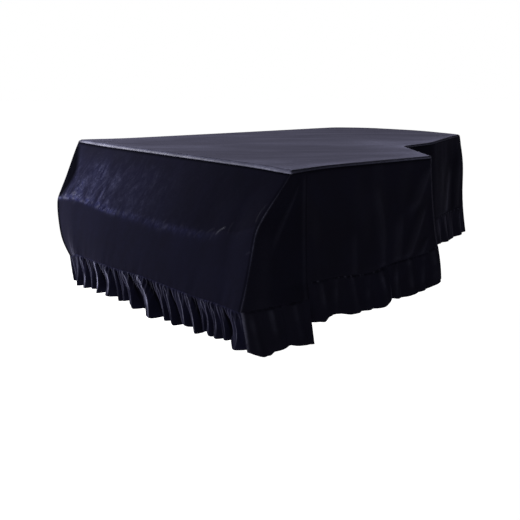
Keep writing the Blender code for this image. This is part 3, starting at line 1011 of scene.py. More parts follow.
@dataclass
class FrontFlap:
    """The front panel and its ruffle."""

    seam: Seam = Seam()
    columns: int = 340
    row_step: float = 0.0044
    height: float = 0.56
    ruffle_split: int = 2
    wrinkle: float = 0.0013
    crumple: float = 0.0022
    drape: float = 0.0024
    pull: float = 0.0018
    hem_steps: Steps = (
        (0.000, 0.010), (0.245, 0.014), (0.320, 0.002), (0.420, 0.002), (0.515, -0.010),
        (0.565, -0.008), (0.592, 0.004), (0.700, -0.012), (0.722, -0.012), (0.745, 0.006),
        (0.800, 0.002), (0.900, 0.008), (0.955, -0.004), (0.972, 0.003), (1.020, 0.000),
        (1.040, 0.007), (1.110, -0.014), (1.145, -0.008), (1.190, 0.002), (1.262, -0.018),
        (1.285, -0.003), (1.320, -0.004), (1.425, -0.016), (1.445, 0.006), (1.518, 0.006),
    )

    @staticmethod
    def edge_rub(across: float, fraction: float, height: float) -> float:
        """The painted highlight on the corner seams: clearest round the crease and at the foot."""
        patchy = 0.75 + 0.6 * drift(fraction * height * 24, across, 10.0)
        foot = 0.12 * rising(fraction, 0.78, 0.18)
        return patchy * (0.05 + 0.15 * bump((fraction - 0.42) / 0.36) + foot)

    @staticmethod
    def _patch(at: FlapPlace) -> float:
        """How crumpled the slope is, with painted sheen on it: most at the bass end above the crease, and
        faint beyond.
        """
        ragged = 0.10 * drift(at.across * 6, at.down * 9, 14.0)
        patch = smooth((-0.10 - at.across + ragged) / 0.34) * smooth((at.down + ragged) / 0.22)
        patch *= falling(at.below, 0.012, 0.020) * (1.0 - 0.40 * falling(at.across, -0.52, 0.15))
        patch *= 0.85 + 0.6 * drift(at.across * 22, at.down * 6, 16.0)
        faint = 0.42 * falling(at.across, 0.30, 0.45) * rising(at.down, 0.02, 0.10) * at.above
        return max(patch, faint)

    @staticmethod
    def _strip(at: FlapPlace) -> float:
        """How pressed the strip along the crease is, with painted sheen on it: it fades and sinks towards
        the treble end.
        """
        band = (at.below + 0.014 - 0.016 * at.treble) / (0.016 + 0.005 * at.treble)
        return (bell(band) * falling(at.across, 0.60, 0.25)
                * (0.80 + 0.20 * falling(at.across, 0.10, 0.5)))

    @staticmethod
    def _rub(at: FlapPlace, strip: float) -> float:
        """Painted highlights, a broken line on the crease and glints round it, and the pale scratches."""
        broken = smooth(0.7 + 2.4 * drift(at.across * 19, at.below * 30, 6.0))
        rim = bell((at.below + 0.006 + 0.004 * drift(at.across * 30, 0, 3)) / 0.0055)
        glint = smooth(2.6 * drift(at.across * 34, at.down * 26, 15.0) - 0.4)
        rub = 0.22 * rim * broken * falling(at.across, -0.40, 0.22)
        rub += 0.06 * glint * at.bass * bell((at.below + 0.030) / 0.040)
        rub += (0.030 + 0.010 * at.treble) * glint * strip
        return max(rub, *(scratch.rub(at.across, at.below) for scratch in SCRATCHES))

    @staticmethod
    def _bass_shade(at: FlapPlace) -> float:
        """Painted shade down the bass edge: widest halfway down the slope."""
        edge = at.across + LID_HALF_WIDTH - 0.050 - 0.060 * bump((at.fraction - 0.28) / 0.30)
        slope = smooth(-edge / 0.045) * at.above * smooth(at.down / 0.03)
        drop = falling(at.side, 0.034, 0.020) * smooth(at.below / 0.02) * smooth(-at.across * 2)
        return 0.95 * max(slope, drop)

    @staticmethod
    def _lean(at: FlapPlace) -> float:
        """Painted shade elsewhere: towards the treble end, under the lid and by the seams."""
        return max(
            0.26 * rising(at.across, -0.15, 0.75) * at.above,
            0.10 * rising(at.across, 0.10, 0.50),
            0.95 * bell(at.down / 0.0100),
            0.55 * bell((at.side - 0.010) / 0.006) * smooth(at.down / 0.02),
        )

    def nap_at(self, across: float, fraction: float) -> Nap:
        """What the pile shows at a place of the panel, with its painted sheen, highlights and shade.

        Args:
            across: Distance across from the middle.
            fraction: Fraction of the way down.

        Returns:
            The nap there.
        """
        at = FlapPlace(across, fraction, fraction * self.height,
                       (fraction - crease_fraction(across)) * self.height,
                       LID_HALF_WIDTH - abs(across))
        patch = self._patch(at)
        strip = self._strip(at)
        shade = self._bass_shade(at)
        rub = max(self._rub(at, strip) * (1.0 - shade),
                  self.edge_rub(across, fraction, self.height) * self.seam.rub(at.side))
        # Painted light: set higher than on the sides, which paints the lit front lighter and bluer.
        press_and_sheen = 0.32 - 0.04 * at.above + 0.58 * patch + 0.40 * strip
        crumple = patch * (0.5 + 0.5 * at.bass) + 0.7 * strip
        return Nap(min(1.0, press_and_sheen), rub, max(shade, self._lean(at)), min(1.0, crumple))

    def _crumpled(self, across: float, down: float) -> float:
        """The height of the crumpled cloth: soft lumps and sharper wrinkles."""
        lumps = noise.fractal(Vector((across * 30 - down * 10, down * 26, 4.0)), 0.9, 2.1, 3)
        ridges = 0.6 - 2.0 * abs(noise.noise(Vector((across * 34 + down * 20, down * 22, 9.0))))
        return self.crumple * lumps + self.wrinkle * ridges

    def _pulled(self, across: float, above: float) -> float:
        """The height of the short folds that the gathers pull above the ruffle's seam."""
        pulls = noise.noise(Vector(((across - above * 0.35) * 26, above * 5.0, 12.0)))
        return self.pull * pulls * math.exp(-above / 0.07) * smooth(above / 0.012)

    def build(self) -> list[ClothSheet]:
        """Make the panel's and the ruffle's sheets."""
        height = self.height
        fractions = graded(height, self.row_step)
        width = 2 * LID_HALF_WIDTH
        acrosses = [-LID_HALF_WIDTH + width * part for part in graded(width, width / self.columns)]
        naps = [[self.nap_at(across, fraction) for across in acrosses] for fraction in fractions]
        rows = [[Spot(front_point(across, fraction), front_inward(across), across,
                      1.0 - fraction * height, nap.press_and_sheen, nap.rub, nap.lean)
                 for across, nap in zip(acrosses, line)] for fraction, line in zip(fractions, naps)]

        def raised(row: int, column: int, spot: Spot) -> float:
            """The seams' shoulders, the crease's wrinkles and the crumpled slope."""
            across = acrosses[column]
            down = fractions[row] * height
            side = LID_HALF_WIDTH - abs(across)
            rise = self.seam.rims(side, down, height - down, across, (1.0, 2.0))
            inside = smooth(side / 0.02) * smooth(down / 0.03) * falling(down, height, 0.03)
            rise += inside * naps[row][column].crumple * self._crumpled(across, down)
            rise += self._pulled(across, height - down) * smooth(side / 0.02)
            return rise + inside * self.drape * noise.noise(Vector((across * 4.0, down * 5.0, 2.0)))

        relieved = relieve(rows, raised)
        panel = ClothSheet("front_panel", relieved, (width, height), "draped")
        ruffle = Ruffle(
            "front_ruffle",
            split(relieved[-1], self.ruffle_split),
            lambda part: front_hem_point(-LID_HALF_WIDTH + width * part),
            lambda part: Vector((0.0, -1.0, 0.0)),
            FRONT_GATHERS,
            seed=21,
            skew=0.40,
            fill=1.1,
            tuck_depth=0.0060,
            tuck_shine=0.20,
            # Painted light: the front skirt is painted lighter and bluer, as lit, with painted shade in
            # its hollows.
            press_and_sheen=0.55,
            hollow_lean=0.92,
            hem_steps=self.hem_steps,
        )
        return [panel, ruffle.build()]


def roll_shade(down: float) -> float:
    """Painted shade under the lid's rolled edge."""
    return ROLL_SHADE * bell(down / 0.008)


# ------------------------------------------------------------------ the cheeks
CHEEK_HEM = (
    (0.000, 0.006), (0.055, 0.009), (0.078, 0.005), (0.094, -0.007), (0.140, -0.003),
    (0.190, 0.003), (0.250, 0.007),
)


@dataclass
class Cheek:
    """A cheek of the front flap and its ruffle: side is 1 at the treble end and -1 at the bass end."""

    prefix: str
    side: int
    hang: Hang
    slit: float
    seed: int
    seam: Seam = Seam()
    bow: float = 0.006
    hem_bow: float = 0.010
    foot_drop: float = 0.440
    foot_out: float = 0.023
    hem_drop: float = 0.592
    hem_out: float = 0.040
    hem_y: float = 0.078
    hem_dip: float = 0.020
    height: float = 0.56
    width: float = 0.25
    step: float = 0.0065
    # Painted shade over the whole cheek.
    shade: float = 0.26
    gather_pitch: float = 0.072
    gather_depth: float = 0.010
    folds: Sequence[Fold] = (
        Fold(0.62, 0.03, 0.42, 0.45, 0.0040, 0.06, 0.05),
        Fold(0.16, 0.30, 0.30, 0.95, 0.0018, 0.20, 0.12),
    )

    def slit_point(self, fraction: float) -> tuple[Vector, Vector]:
        """The cheek's free edge along the slit and its thickness, from the lid to the cheek's foot."""
        drop = ROLL_DROP + (self.foot_drop - ROLL_DROP) * fraction
        sewn = (self.hang.seam_drop - ROLL_DROP) / (self.foot_drop - ROLL_DROP)
        out = self.hang.seam_out
        if fraction <= sewn:
            out *= (fraction / sewn) ** FLARE_POWER
        else:
            out += (self.foot_out - out) * (fraction - sewn) / (1.0 - sewn)
        return hang_point(self.slit, out, drop)

    def point(self, across: float, fraction: float) -> Vector:
        """The cheek's plain outer face, from the front seam (0) to the slit (1)."""
        front = front_point(self.side * LID_HALF_WIDTH, fraction)
        place = front.lerp(self.slit_point(fraction)[0], across)
        place.x += self.side * self.bow * math.sin(math.pi * across) * fraction
        return place

    def hem_point(self, across: float) -> Vector:
        """The cheek ruffle's mean hem."""
        front = front_hem_point(self.side * LID_HALF_WIDTH)
        edge, _ = EDGE.at(self.slit)
        rear = Vector((edge.x + self.side * self.hem_out, self.hem_y, -self.hem_drop))
        place = front.lerp(rear, across)
        place.z -= self.hem_dip * math.sin(math.pi * min(across * 1.6, 1.0))
        place.x += self.side * self.hem_bow * math.sin(math.pi * across)
        return place

    def _spot(self, part: float, fraction: float) -> Spot:
        """The panel's plain spot at a fraction of its width and of its height."""
        thick = front_inward(self.side * LID_HALF_WIDTH) if part == 0.0 else self.slit_point(fraction)[1]
        return Spot(self.point(part, fraction), thick, part * self.width,
                    1.0 - fraction * self.height, PLAIN_PRESS_AND_SHEEN)

    def _painted_light_and_scuffs(self, spot: Spot, part: float, fraction: float, wide: float) -> Spot:
        """The spot with its painted light: highlights on the front seam, beside the slit and on the
        folds, and painted shade.

        Args:
            spot: The spot without its marks.
            part: Fraction of the panel's width.
            fraction: Fraction of its height.
            wide: The panel's width there.

        Returns:
            The spot with its painted highlight and painted shade.
        """
        to_slit = (1.0 - part) * wide
        rub = 0.5 * FrontFlap.edge_rub(LID_HALF_WIDTH, fraction, self.height) * self.seam.rub(part * wide)
        rub += 0.020 * smooth(fraction / 0.08) * bell((to_slit - 0.013) / 0.007)
        rub += 0.018 * smooth(fraction / 0.08) * smooth(fold_height(self.folds, part, fraction) / 0.004)
        lean = max(self.shade, roll_shade(fraction * self.height), 0.5 * bell(to_slit / 0.004))
        return spot._replace(rub=rub, lean=lean)

    def build(self) -> list[ClothSheet]:
        """Make the panel's and the ruffle's sheets."""
        fractions = graded(self.height, self.step)
        parts = graded(self.width, self.step)
        rows = [[self._spot(part, fraction) for part in parts] for fraction in fractions]
        near = [(row[-1].place - row[0].place).length for row in rows]

        def raised(row: int, column: int, spot: Spot) -> float:
            """The seams' shoulders and the cheek's soft folds."""
            wide = near[row]
            across = parts[column] * wide
            down = fractions[row] * self.height
            foot = self.height - down
            rise = min(self.seam.rims(across, down, foot, across, (3.0, 4.0)),
                       self.seam.lift * falling(across, wide, self.seam.reach))
            inside = smooth(across / 0.03) * falling(across, wide, 0.03) * smooth(foot / 0.04)
            rise += inside * fold_height(self.folds, parts[column], fractions[row])
            return rise + inside * 0.0018 * drift(across * 9, down * 6, self.seed)

        rubbed = [[self._painted_light_and_scuffs(spot, part, fraction, wide) for part, spot in zip(parts, row)]
                  for fraction, row, wide in zip(fractions, relieve(rows, raised), near)]
        area = sum(near) / len(near) * self.height
        panel = ClothSheet(f"{self.prefix}_cheek_panel", rubbed, (max(near), self.height), "draped", area)
        seam_line = split(rubbed[-1], 2)
        ruffle = Ruffle(
            f"{self.prefix}_cheek_ruffle",
            seam_line,
            self.hem_point,
            lambda part: Vector((self.side, 0.0, 0.0)),
            uneven_gathers(run_length(seam_line), self.gather_pitch, self.gather_depth, self.seed),
            seed=self.seed,
            corner_rub=0.32,
            crest_width=0.010,
            hem_steps=CHEEK_HEM,
        )
        return [panel, ruffle.build()]


# ------------------------------------------------------------------ the side panels
def hang_point(distance: float, out: float, drop: float) -> tuple[Vector, Vector]:
    """A point hanging below the lid's edge, pushed outwards, and the inward thickness there."""
    edge, outward = EDGE.at(distance)
    point = Vector((edge.x + outward.x * out, edge.y + outward.y * out, -drop))
    return point, Vector((-outward.x, -outward.y, 0.0)) * CLOTH


@dataclass
class SidePanel:
    """A hanging side panel and its ruffle, between two distances along the lid's edge."""

    name: str
    start: float
    end: float
    hang: Sequence[Hang]
    folds: Sequence[Fold]
    gathers: Sequence[Gather]
    seed: int
    hem_steps: Steps = LEVEL_HEM
    # Painted highlights on the end seam and on the fold crests, and painted shade over the whole panel.
    end_rub: float = 0.0
    fold_rub: float = 0.020
    shade: float = 0.0
    # Set lower than the front's, so the sides are painted darker and less blue, as unlit.
    press_and_sheen: float = 0.12
    seam: Seam = Seam()
    column_step: float = 0.0068
    arc_step: float = math.radians(5)
    row_step: float = 0.0068

    def _point(self, distance: float, fraction: float) -> tuple[Vector, Vector]:
        """The panel's plain outer face, from the top seam (0) to the ruffle's seam (1)."""
        seam_drop, seam_out, _, _ = read_table(self.hang, (distance - self.start) / self.length)
        drop = ROLL_DROP + (seam_drop - ROLL_DROP) * fraction
        return hang_point(distance, seam_out * fraction ** FLARE_POWER, drop)

    @property
    def length(self) -> float:
        """The panel's length along the lid's edge."""
        return self.end - self.start

    def _outward(self, part: float) -> Vector:
        """The outward direction at a fraction of the panel's length."""
        _, outward = EDGE.at(self.start + self.length * part)
        return Vector((outward.x, outward.y, 0.0))

    def _hem(self, part: float) -> Vector:
        """The ruffle's mean hem at a fraction of the panel's length."""
        _, _, hem_drop, hem_out = read_table(self.hang, part)
        return hang_point(self.start + self.length * part, hem_out, hem_drop)[0]

    def _painted_light_and_scuffs(self, spot: Spot, mark: float, fraction: float, height: float) -> Spot:
        """The spot with its painted light: highlights on the folds and on its end seam, faint pale
        upright streaks, and painted shade.

        Args:
            spot: The spot without its marks.
            mark: Distance along the lid's edge.
            fraction: Fraction of the panel's height.
            height: The panel's height.

        Returns:
            The spot with its painted highlight and painted shade.
        """
        along = mark - self.start
        rise = fold_height(self.folds, along - 0.006, fraction)
        rub = self.fold_rub * smooth(rise / 0.0060) * falling(fraction, 1.0, 0.04)
        rub += 0.006 * smooth(2.0 * drift(along * 13, fraction * 1.6, self.seed + 0.4))
        rub += self.end_rub * self.seam.rub(self.end - mark)
        return spot._replace(rub=rub, lean=max(self.shade, roll_shade(fraction * height)))

    def build(self) -> list[ClothSheet]:
        """Make the panel's and the ruffle's sheets."""
        fine = RIM_LINES[:-1]
        marks = EDGE.stations(self.start, self.end, self.column_step, self.arc_step)
        marks = sorted({*marks, *(self.start + d for d in fine), *(self.end - d for d in fine)})
        height = sum(row.seam_drop for row in self.hang) / len(self.hang)
        fractions = graded(height, self.row_step)
        rows = [[Spot(*self._point(mark, fraction), mark, 1.0 - fraction * height, self.press_and_sheen)
                 for mark in marks] for fraction in fractions]

        def raised(row: int, column: int, spot: Spot) -> float:
            """The seams' shoulders and the panel's folds."""
            along = marks[column] - self.start
            side = min(along, self.length - along)
            down = fractions[row] * height
            rise = self.seam.rims(side, down, height - down, along, (self.seed + 0.1, self.seed + 0.2))
            inside = smooth(side / 0.035) * smooth(down / 0.03)
            foot = falling(down, height, 0.02)
            rise += inside * foot * fold_height(self.folds, along, fractions[row])
            wave = drift(along * 7, down * 2.2, self.seed) * 0.0035 * smooth(fractions[row] * 1.5)
            wave += drift(along * 24, down * 7, self.seed + 0.7) * 0.0007
            return rise + inside * foot * wave

        rubbed = [[self._painted_light_and_scuffs(spot, mark, fraction, height) for mark, spot in zip(marks, row)]
                  for fraction, row in zip(fractions, relieve(rows, raised))]
        panel = ClothSheet(self.name, rubbed, (self.length, height), "draped")
        ruffle = Ruffle(
            self.name.replace("_side", "").replace("_panel", "_ruffle"),
            split(rubbed[-1], 2),
            self._hem,
            self._outward,
            self.gathers,
            seed=self.seed,
            seam_rub=0.16,
            crest_width=0.011,
            hem_steps=self.hem_steps,
        )
        return [panel, ruffle.build()]


# ------------------------------------------------------------------ the top panel
class RimSpot(NamedTuple):
    """A point of the seam round the lid: its place, the way outwards and the thickness there."""

    seam: Vector
    outward: Vector
    inward: Vector


class Glow(NamedTuple):
    """A painted pool of light on the top: its middle, its reach both ways and how bright it is."""

    x: float
    y: float
    wide: float
    deep: float
    rub: float

    def at(self, x: float, y: float) -> float:
        """How much painted light the glow puts on a place."""
        return self.rub * math.exp(-((x - self.x) / self.wide) ** 2 - ((y - self.y) / self.deep) ** 2)


GLOWS = (
    Glow(0.30, 1.02, 0.28, 0.24, 0.34),
    Glow(0.66, 0.74, 0.16, 0.14, 0.22),
    Glow(0.70, 0.02, 0.20, 0.14, 0.30),
)


@dataclass
class TopPanel:
    """The top panel: flat over the lid and rolled over its edge down to the seam."""

    across_count: int = 150
    side_step: float = 0.0105
    arc_step: float = math.radians(7)
    roll_rings: int = 8
    rim_cells: int = 12
    wave: float = 0.0016
    ripple: float = 0.0006
    pucker: float = 0.0007
    # Painted highlight on the roll round the sides and the tail.
    edge_rub: float = 0.40
    flat: tuple[float, float] = (1.52, 1.73)
    area: float = 2.24

    def _front_rim(self, part: float) -> RimSpot:
        """The seam along the front edge, from the bass corner (0) to the treble corner (1)."""
        across = -LID_HALF_WIDTH + 2 * LID_HALF_WIDTH * part
        corner = abs(across) > LID_HALF_WIDTH - TINY
        outward = Vector((math.copysign(1.0, across) if corner else 0.0, -1.0, 0.0))
        return RimSpot(front_point(across, 0.0), outward, front_inward(across))

    def _edge_rim(self, distance: float) -> RimSpot:
        """The seam at a distance along the lid's edge from the front treble corner."""
        from_corner = min(distance, EDGE.length - distance)
        if from_corner < SLIT_REACH:
            side = 1.0 if distance < EDGE.length / 2 else -1.0
            slit = SLIT_REACH if side > 0 else BASS_SLIT
            front = front_point(side * LID_HALF_WIDTH, 0.0)
            rear, inward = hang_point(slit, 0.0, ROLL_DROP)
            place = front.lerp(rear, from_corner / SLIT_REACH)
            return RimSpot(place, Vector((side, 0.0, 0.0)), inward)
        place, inward = hang_point(distance, 0.0, ROLL_DROP)
        return RimSpot(place, -inward.normalized(), inward)

    def _roll(self, rim: RimSpot, turn: float) -> tuple[Vector, Vector]:
        """The outer and inner point of the roll: turn runs from the flat (0) to the seam (1)."""
        reach = ROLL_INSET + (FRONT_ROLL_REACH if rim.seam.y < 0.0 else 0.0)
        flat = Vector((rim.seam.x - rim.outward.x * ROLL_INSET,
                       rim.seam.y - rim.outward.y * reach, 0.0))
        angle = turn * math.pi / 2
        place = flat.lerp(rim.seam, math.sin(angle))
        place.z = rim.seam.z * (1.0 - math.cos(angle))
        down = Vector((0.0, 0.0, -CLOTH))
        return place, place + rim.inward * math.sin(angle) + down * math.cos(angle)

    def relief(self, x: float, y: float, from_side: float, from_front: float) -> float:
        """How high the cloth lies over the lid: long waves, and puckers along the near edges."""
        near = max(math.exp(-from_side / 0.05), math.exp(-from_front / 0.04))
        wave = self.wave * (drift(x * 3.2, y * 1.7, 5.0) - 0.2) + self.ripple * drift(x * 8, y * 4.5, 5.5)
        return wave + self.pucker * near * drift(x * 22, y * 22, 5.8)

    @staticmethod
    def band(along: float, turn: float) -> float:
        """The painted highlight on the roll over the front edge, at a distance from its bass end."""
        paleness = 0.84 + 0.26 * drift(along * 11, 0.0, 8.0) + 0.10 * drift(along * 60, 0.0, 8.5)
        paleness *= rising(along, -0.02, 0.10) * (0.55 + 0.25 * rising(along, 1.0, 0.5))
        return paleness * (0.55 + 0.45 * math.sin(turn * math.pi * 0.85))

    @staticmethod
    def top_rub(x: float, y: float, from_side: float, from_front: float) -> float:
        """Painted light on the flat cloth: a little along the near edges and more at its glows, with soft
        streaks.
        """
        uneven = 1.0 + 0.8 * drift(x * 9, y * 5, 8.8)
        glow = sum(place.at(x, y) for place in GLOWS)
        side = 0.30 * math.exp(-from_side / 0.12) + 0.30 * math.exp(-from_side / 0.05)
        front = 0.16 * math.exp(-from_front / 0.012)
        streak = max(0.0, drift(x * 1.6 + y * 2.0, (y - 1.28 * x) * 7.0, 8.4))
        streak += 0.6 * max(0.0, drift(x * 4.0 + y * 5.0, (y - 1.28 * x) * 21.0, 8.6))
        return uneven * (side + front + glow) + 0.22 * streak

    def _roll_rub(self, place: Vector, turn: float) -> float:
        """The painted highlight on the roll at its sides and tail: brightest near the bentside's corner.
        """
        bright = 1.0 + 1.3 * bell((place.y - 0.66) / 0.34) * smooth(place.x / 0.3)
        return self.edge_rub * bright * (1.0 - 0.5 * turn) * falling(turn, 1.0, 0.25)

    def _rim(self, treble: Sequence[float]) -> dict[tuple[int, int], RimSpot]:
        """The seam's spots round the patch, by row and column.

        Args:
            treble: The distances of the rows along the treble edge.

        Returns:
            The spots of the patch's outer rows and columns.
        """
        columns = self.across_count
        rows = len(treble) - 1
        bass = [EDGE.length - (EDGE.length - TAIL_BASS_TURN) * part for part in even(rows)]
        tail = [TAIL_TREBLE_TURN + (TAIL_BASS_TURN - TAIL_TREBLE_TURN) * part
                for part in even(columns)]
        rim: dict[tuple[int, int], RimSpot] = {}
        for column in range(columns + 1):
            rim[0, column] = self._front_rim(column / columns)
            rim[rows, column] = self._edge_rim(tail[columns - column])
        for row in range(1, rows):
            rim[row, 0] = self._edge_rim(bass[row])
            rim[row, columns] = self._edge_rim(treble[row])
        return rim

    def _grown(self, mesh: bmesh.types.BMesh, rows: int) -> dict:
        """Fill the bmesh with the patch's plain grid and the roll's rings round it.

        Args:
            mesh: The bmesh, empty.
            rows: How many rows of faces the patch has.

        Returns:
            Each vertex's row, column and ring, 0 on the patch.
        """
        columns = self.across_count
        bmesh.ops.create_grid(mesh, x_segments=columns, y_segments=rows, size=0.5)
        cells = {}
        for vertex in mesh.verts:
            column = round((vertex.co.x + 0.5) * columns)
            cells[vertex] = (round((vertex.co.y + 0.5) * rows), column, 0)
        for ring in range(1, self.roll_rings + 1):
            border = [edge for edge in mesh.edges if edge.is_boundary]
            grown = bmesh.ops.extrude_edge_only(mesh, edges=border)["geom"]
            fresh = [item for item in grown if isinstance(item, bmesh.types.BMVert)]
            parents = {}
            for vertex in fresh:
                ends = [edge.other_vert(vertex) for edge in vertex.link_edges]
                parents[vertex] = next(end for end in ends if end in cells)
            cells.update({vertex: (*cells[parent][:2], ring) for vertex, parent in parents.items()})
        return cells

    def build(self) -> bpy.types.Object:
        """Make the top panel: a patch between four runs of its edge, grown out into the roll."""
        columns = self.across_count
        treble = EDGE.stations(0.0, TAIL_TREBLE_TURN, self.side_step, self.arc_step)
        rows = len(treble) - 1
        rim = self._rim(treble)
        flat = {cell: self._roll(spot, 0.0)[0] for cell, spot in rim.items()}

        def patch(row: int, column: int) -> Vector:
            """The flat part's point between the four runs."""
            u = column / columns
            v = row / rows
            side = flat[row, 0].lerp(flat[row, columns], u)
            run = flat[0, column].lerp(flat[rows, column], v)
            front = flat[0, 0].lerp(flat[0, columns], u)
            back = flat[rows, 0].lerp(flat[rows, columns], u)
            return side + run - front.lerp(back, v)

        mesh = marked_mesh()
        mesh.verts.layers.int.new("key")
        faces = {}
        rubs = {}
        for vertex, (row, column, ring) in self._grown(mesh, rows).items():
            turn = ring / self.roll_rings
            if ring:
                faces[vertex] = self._roll(rim[row, column], turn)
                if row == 0:
                    rubs[vertex] = self.band(2 * LID_HALF_WIDTH * column / columns, turn)
                else:
                    rubs[vertex] = self._roll_rub(faces[vertex][0], turn)
                continue
            place = patch(row, column)
            from_side = 1.0 - column / columns
            inside = smooth(min(row, column, rows - row, columns - column) / self.rim_cells)
            place.z = inside * self.relief(place.x, place.y, from_side, row / rows)
            faces[vertex] = (place, place - Vector((0.0, 0.0, CLOTH)))
            rubs[vertex] = self.top_rub(place.x, place.y, from_side, row / rows)
        return self._close(mesh, faces, rubs)

    def _close(self, mesh: bmesh.types.BMesh, faces: dict, rubs: dict) -> bpy.types.Object:
        """Give the grown patch its thickness, flat places, pressed pile and painted light.

        Args:
            mesh: The open patch with its roll.
            faces: Each vertex's outer and inner place.
            highlights: The painted light at each vertex.

        Returns:
            The object.
        """
        press_and_sheen = mesh.verts.layers.float[MarksAndLight.PRESS_AND_SHEEN.value]
        rub = mesh.verts.layers.float[MarksAndLight.RUB.value]
        key = mesh.verts.layers.int["key"]
        kept = list(faces)
        for number, vertex in enumerate(kept):
            vertex[key] = number
            vertex[press_and_sheen] = PLAIN_PRESS_AND_SHEEN
            vertex[rub] = rubs[vertex]
        bmesh.ops.extrude_face_region(mesh, geom=mesh.faces[:], use_keep_orig=True)
        for vertex in mesh.verts:
            outer, inner = faces[kept[vertex[key]]]
            vertex.co = settled(outer if vertex in faces else inner)
        flat_map = mesh.loops.layers.uv[FLAT_MAP]
        for polygon in mesh.faces:
            for loop in polygon.loops:
                loop[flat_map].uv = loop.vert.co.xy
        mesh.verts.layers.int.remove(key)
        return link_closed("top_panel", mesh)


# ------------------------------------------------------------------ finishes
Colour = tuple[float, float, float, float]
WHITE: Colour = (1.0, 1.0, 1.0, 1.0)


@dataclass(frozen=True)
class Marks:
    """Noise over the cloth, stretched so that low becomes 0 and high becomes 1."""

    scale: float
    detail: float
    distortion: float
    low: float
    high: float
    swept: bool = False


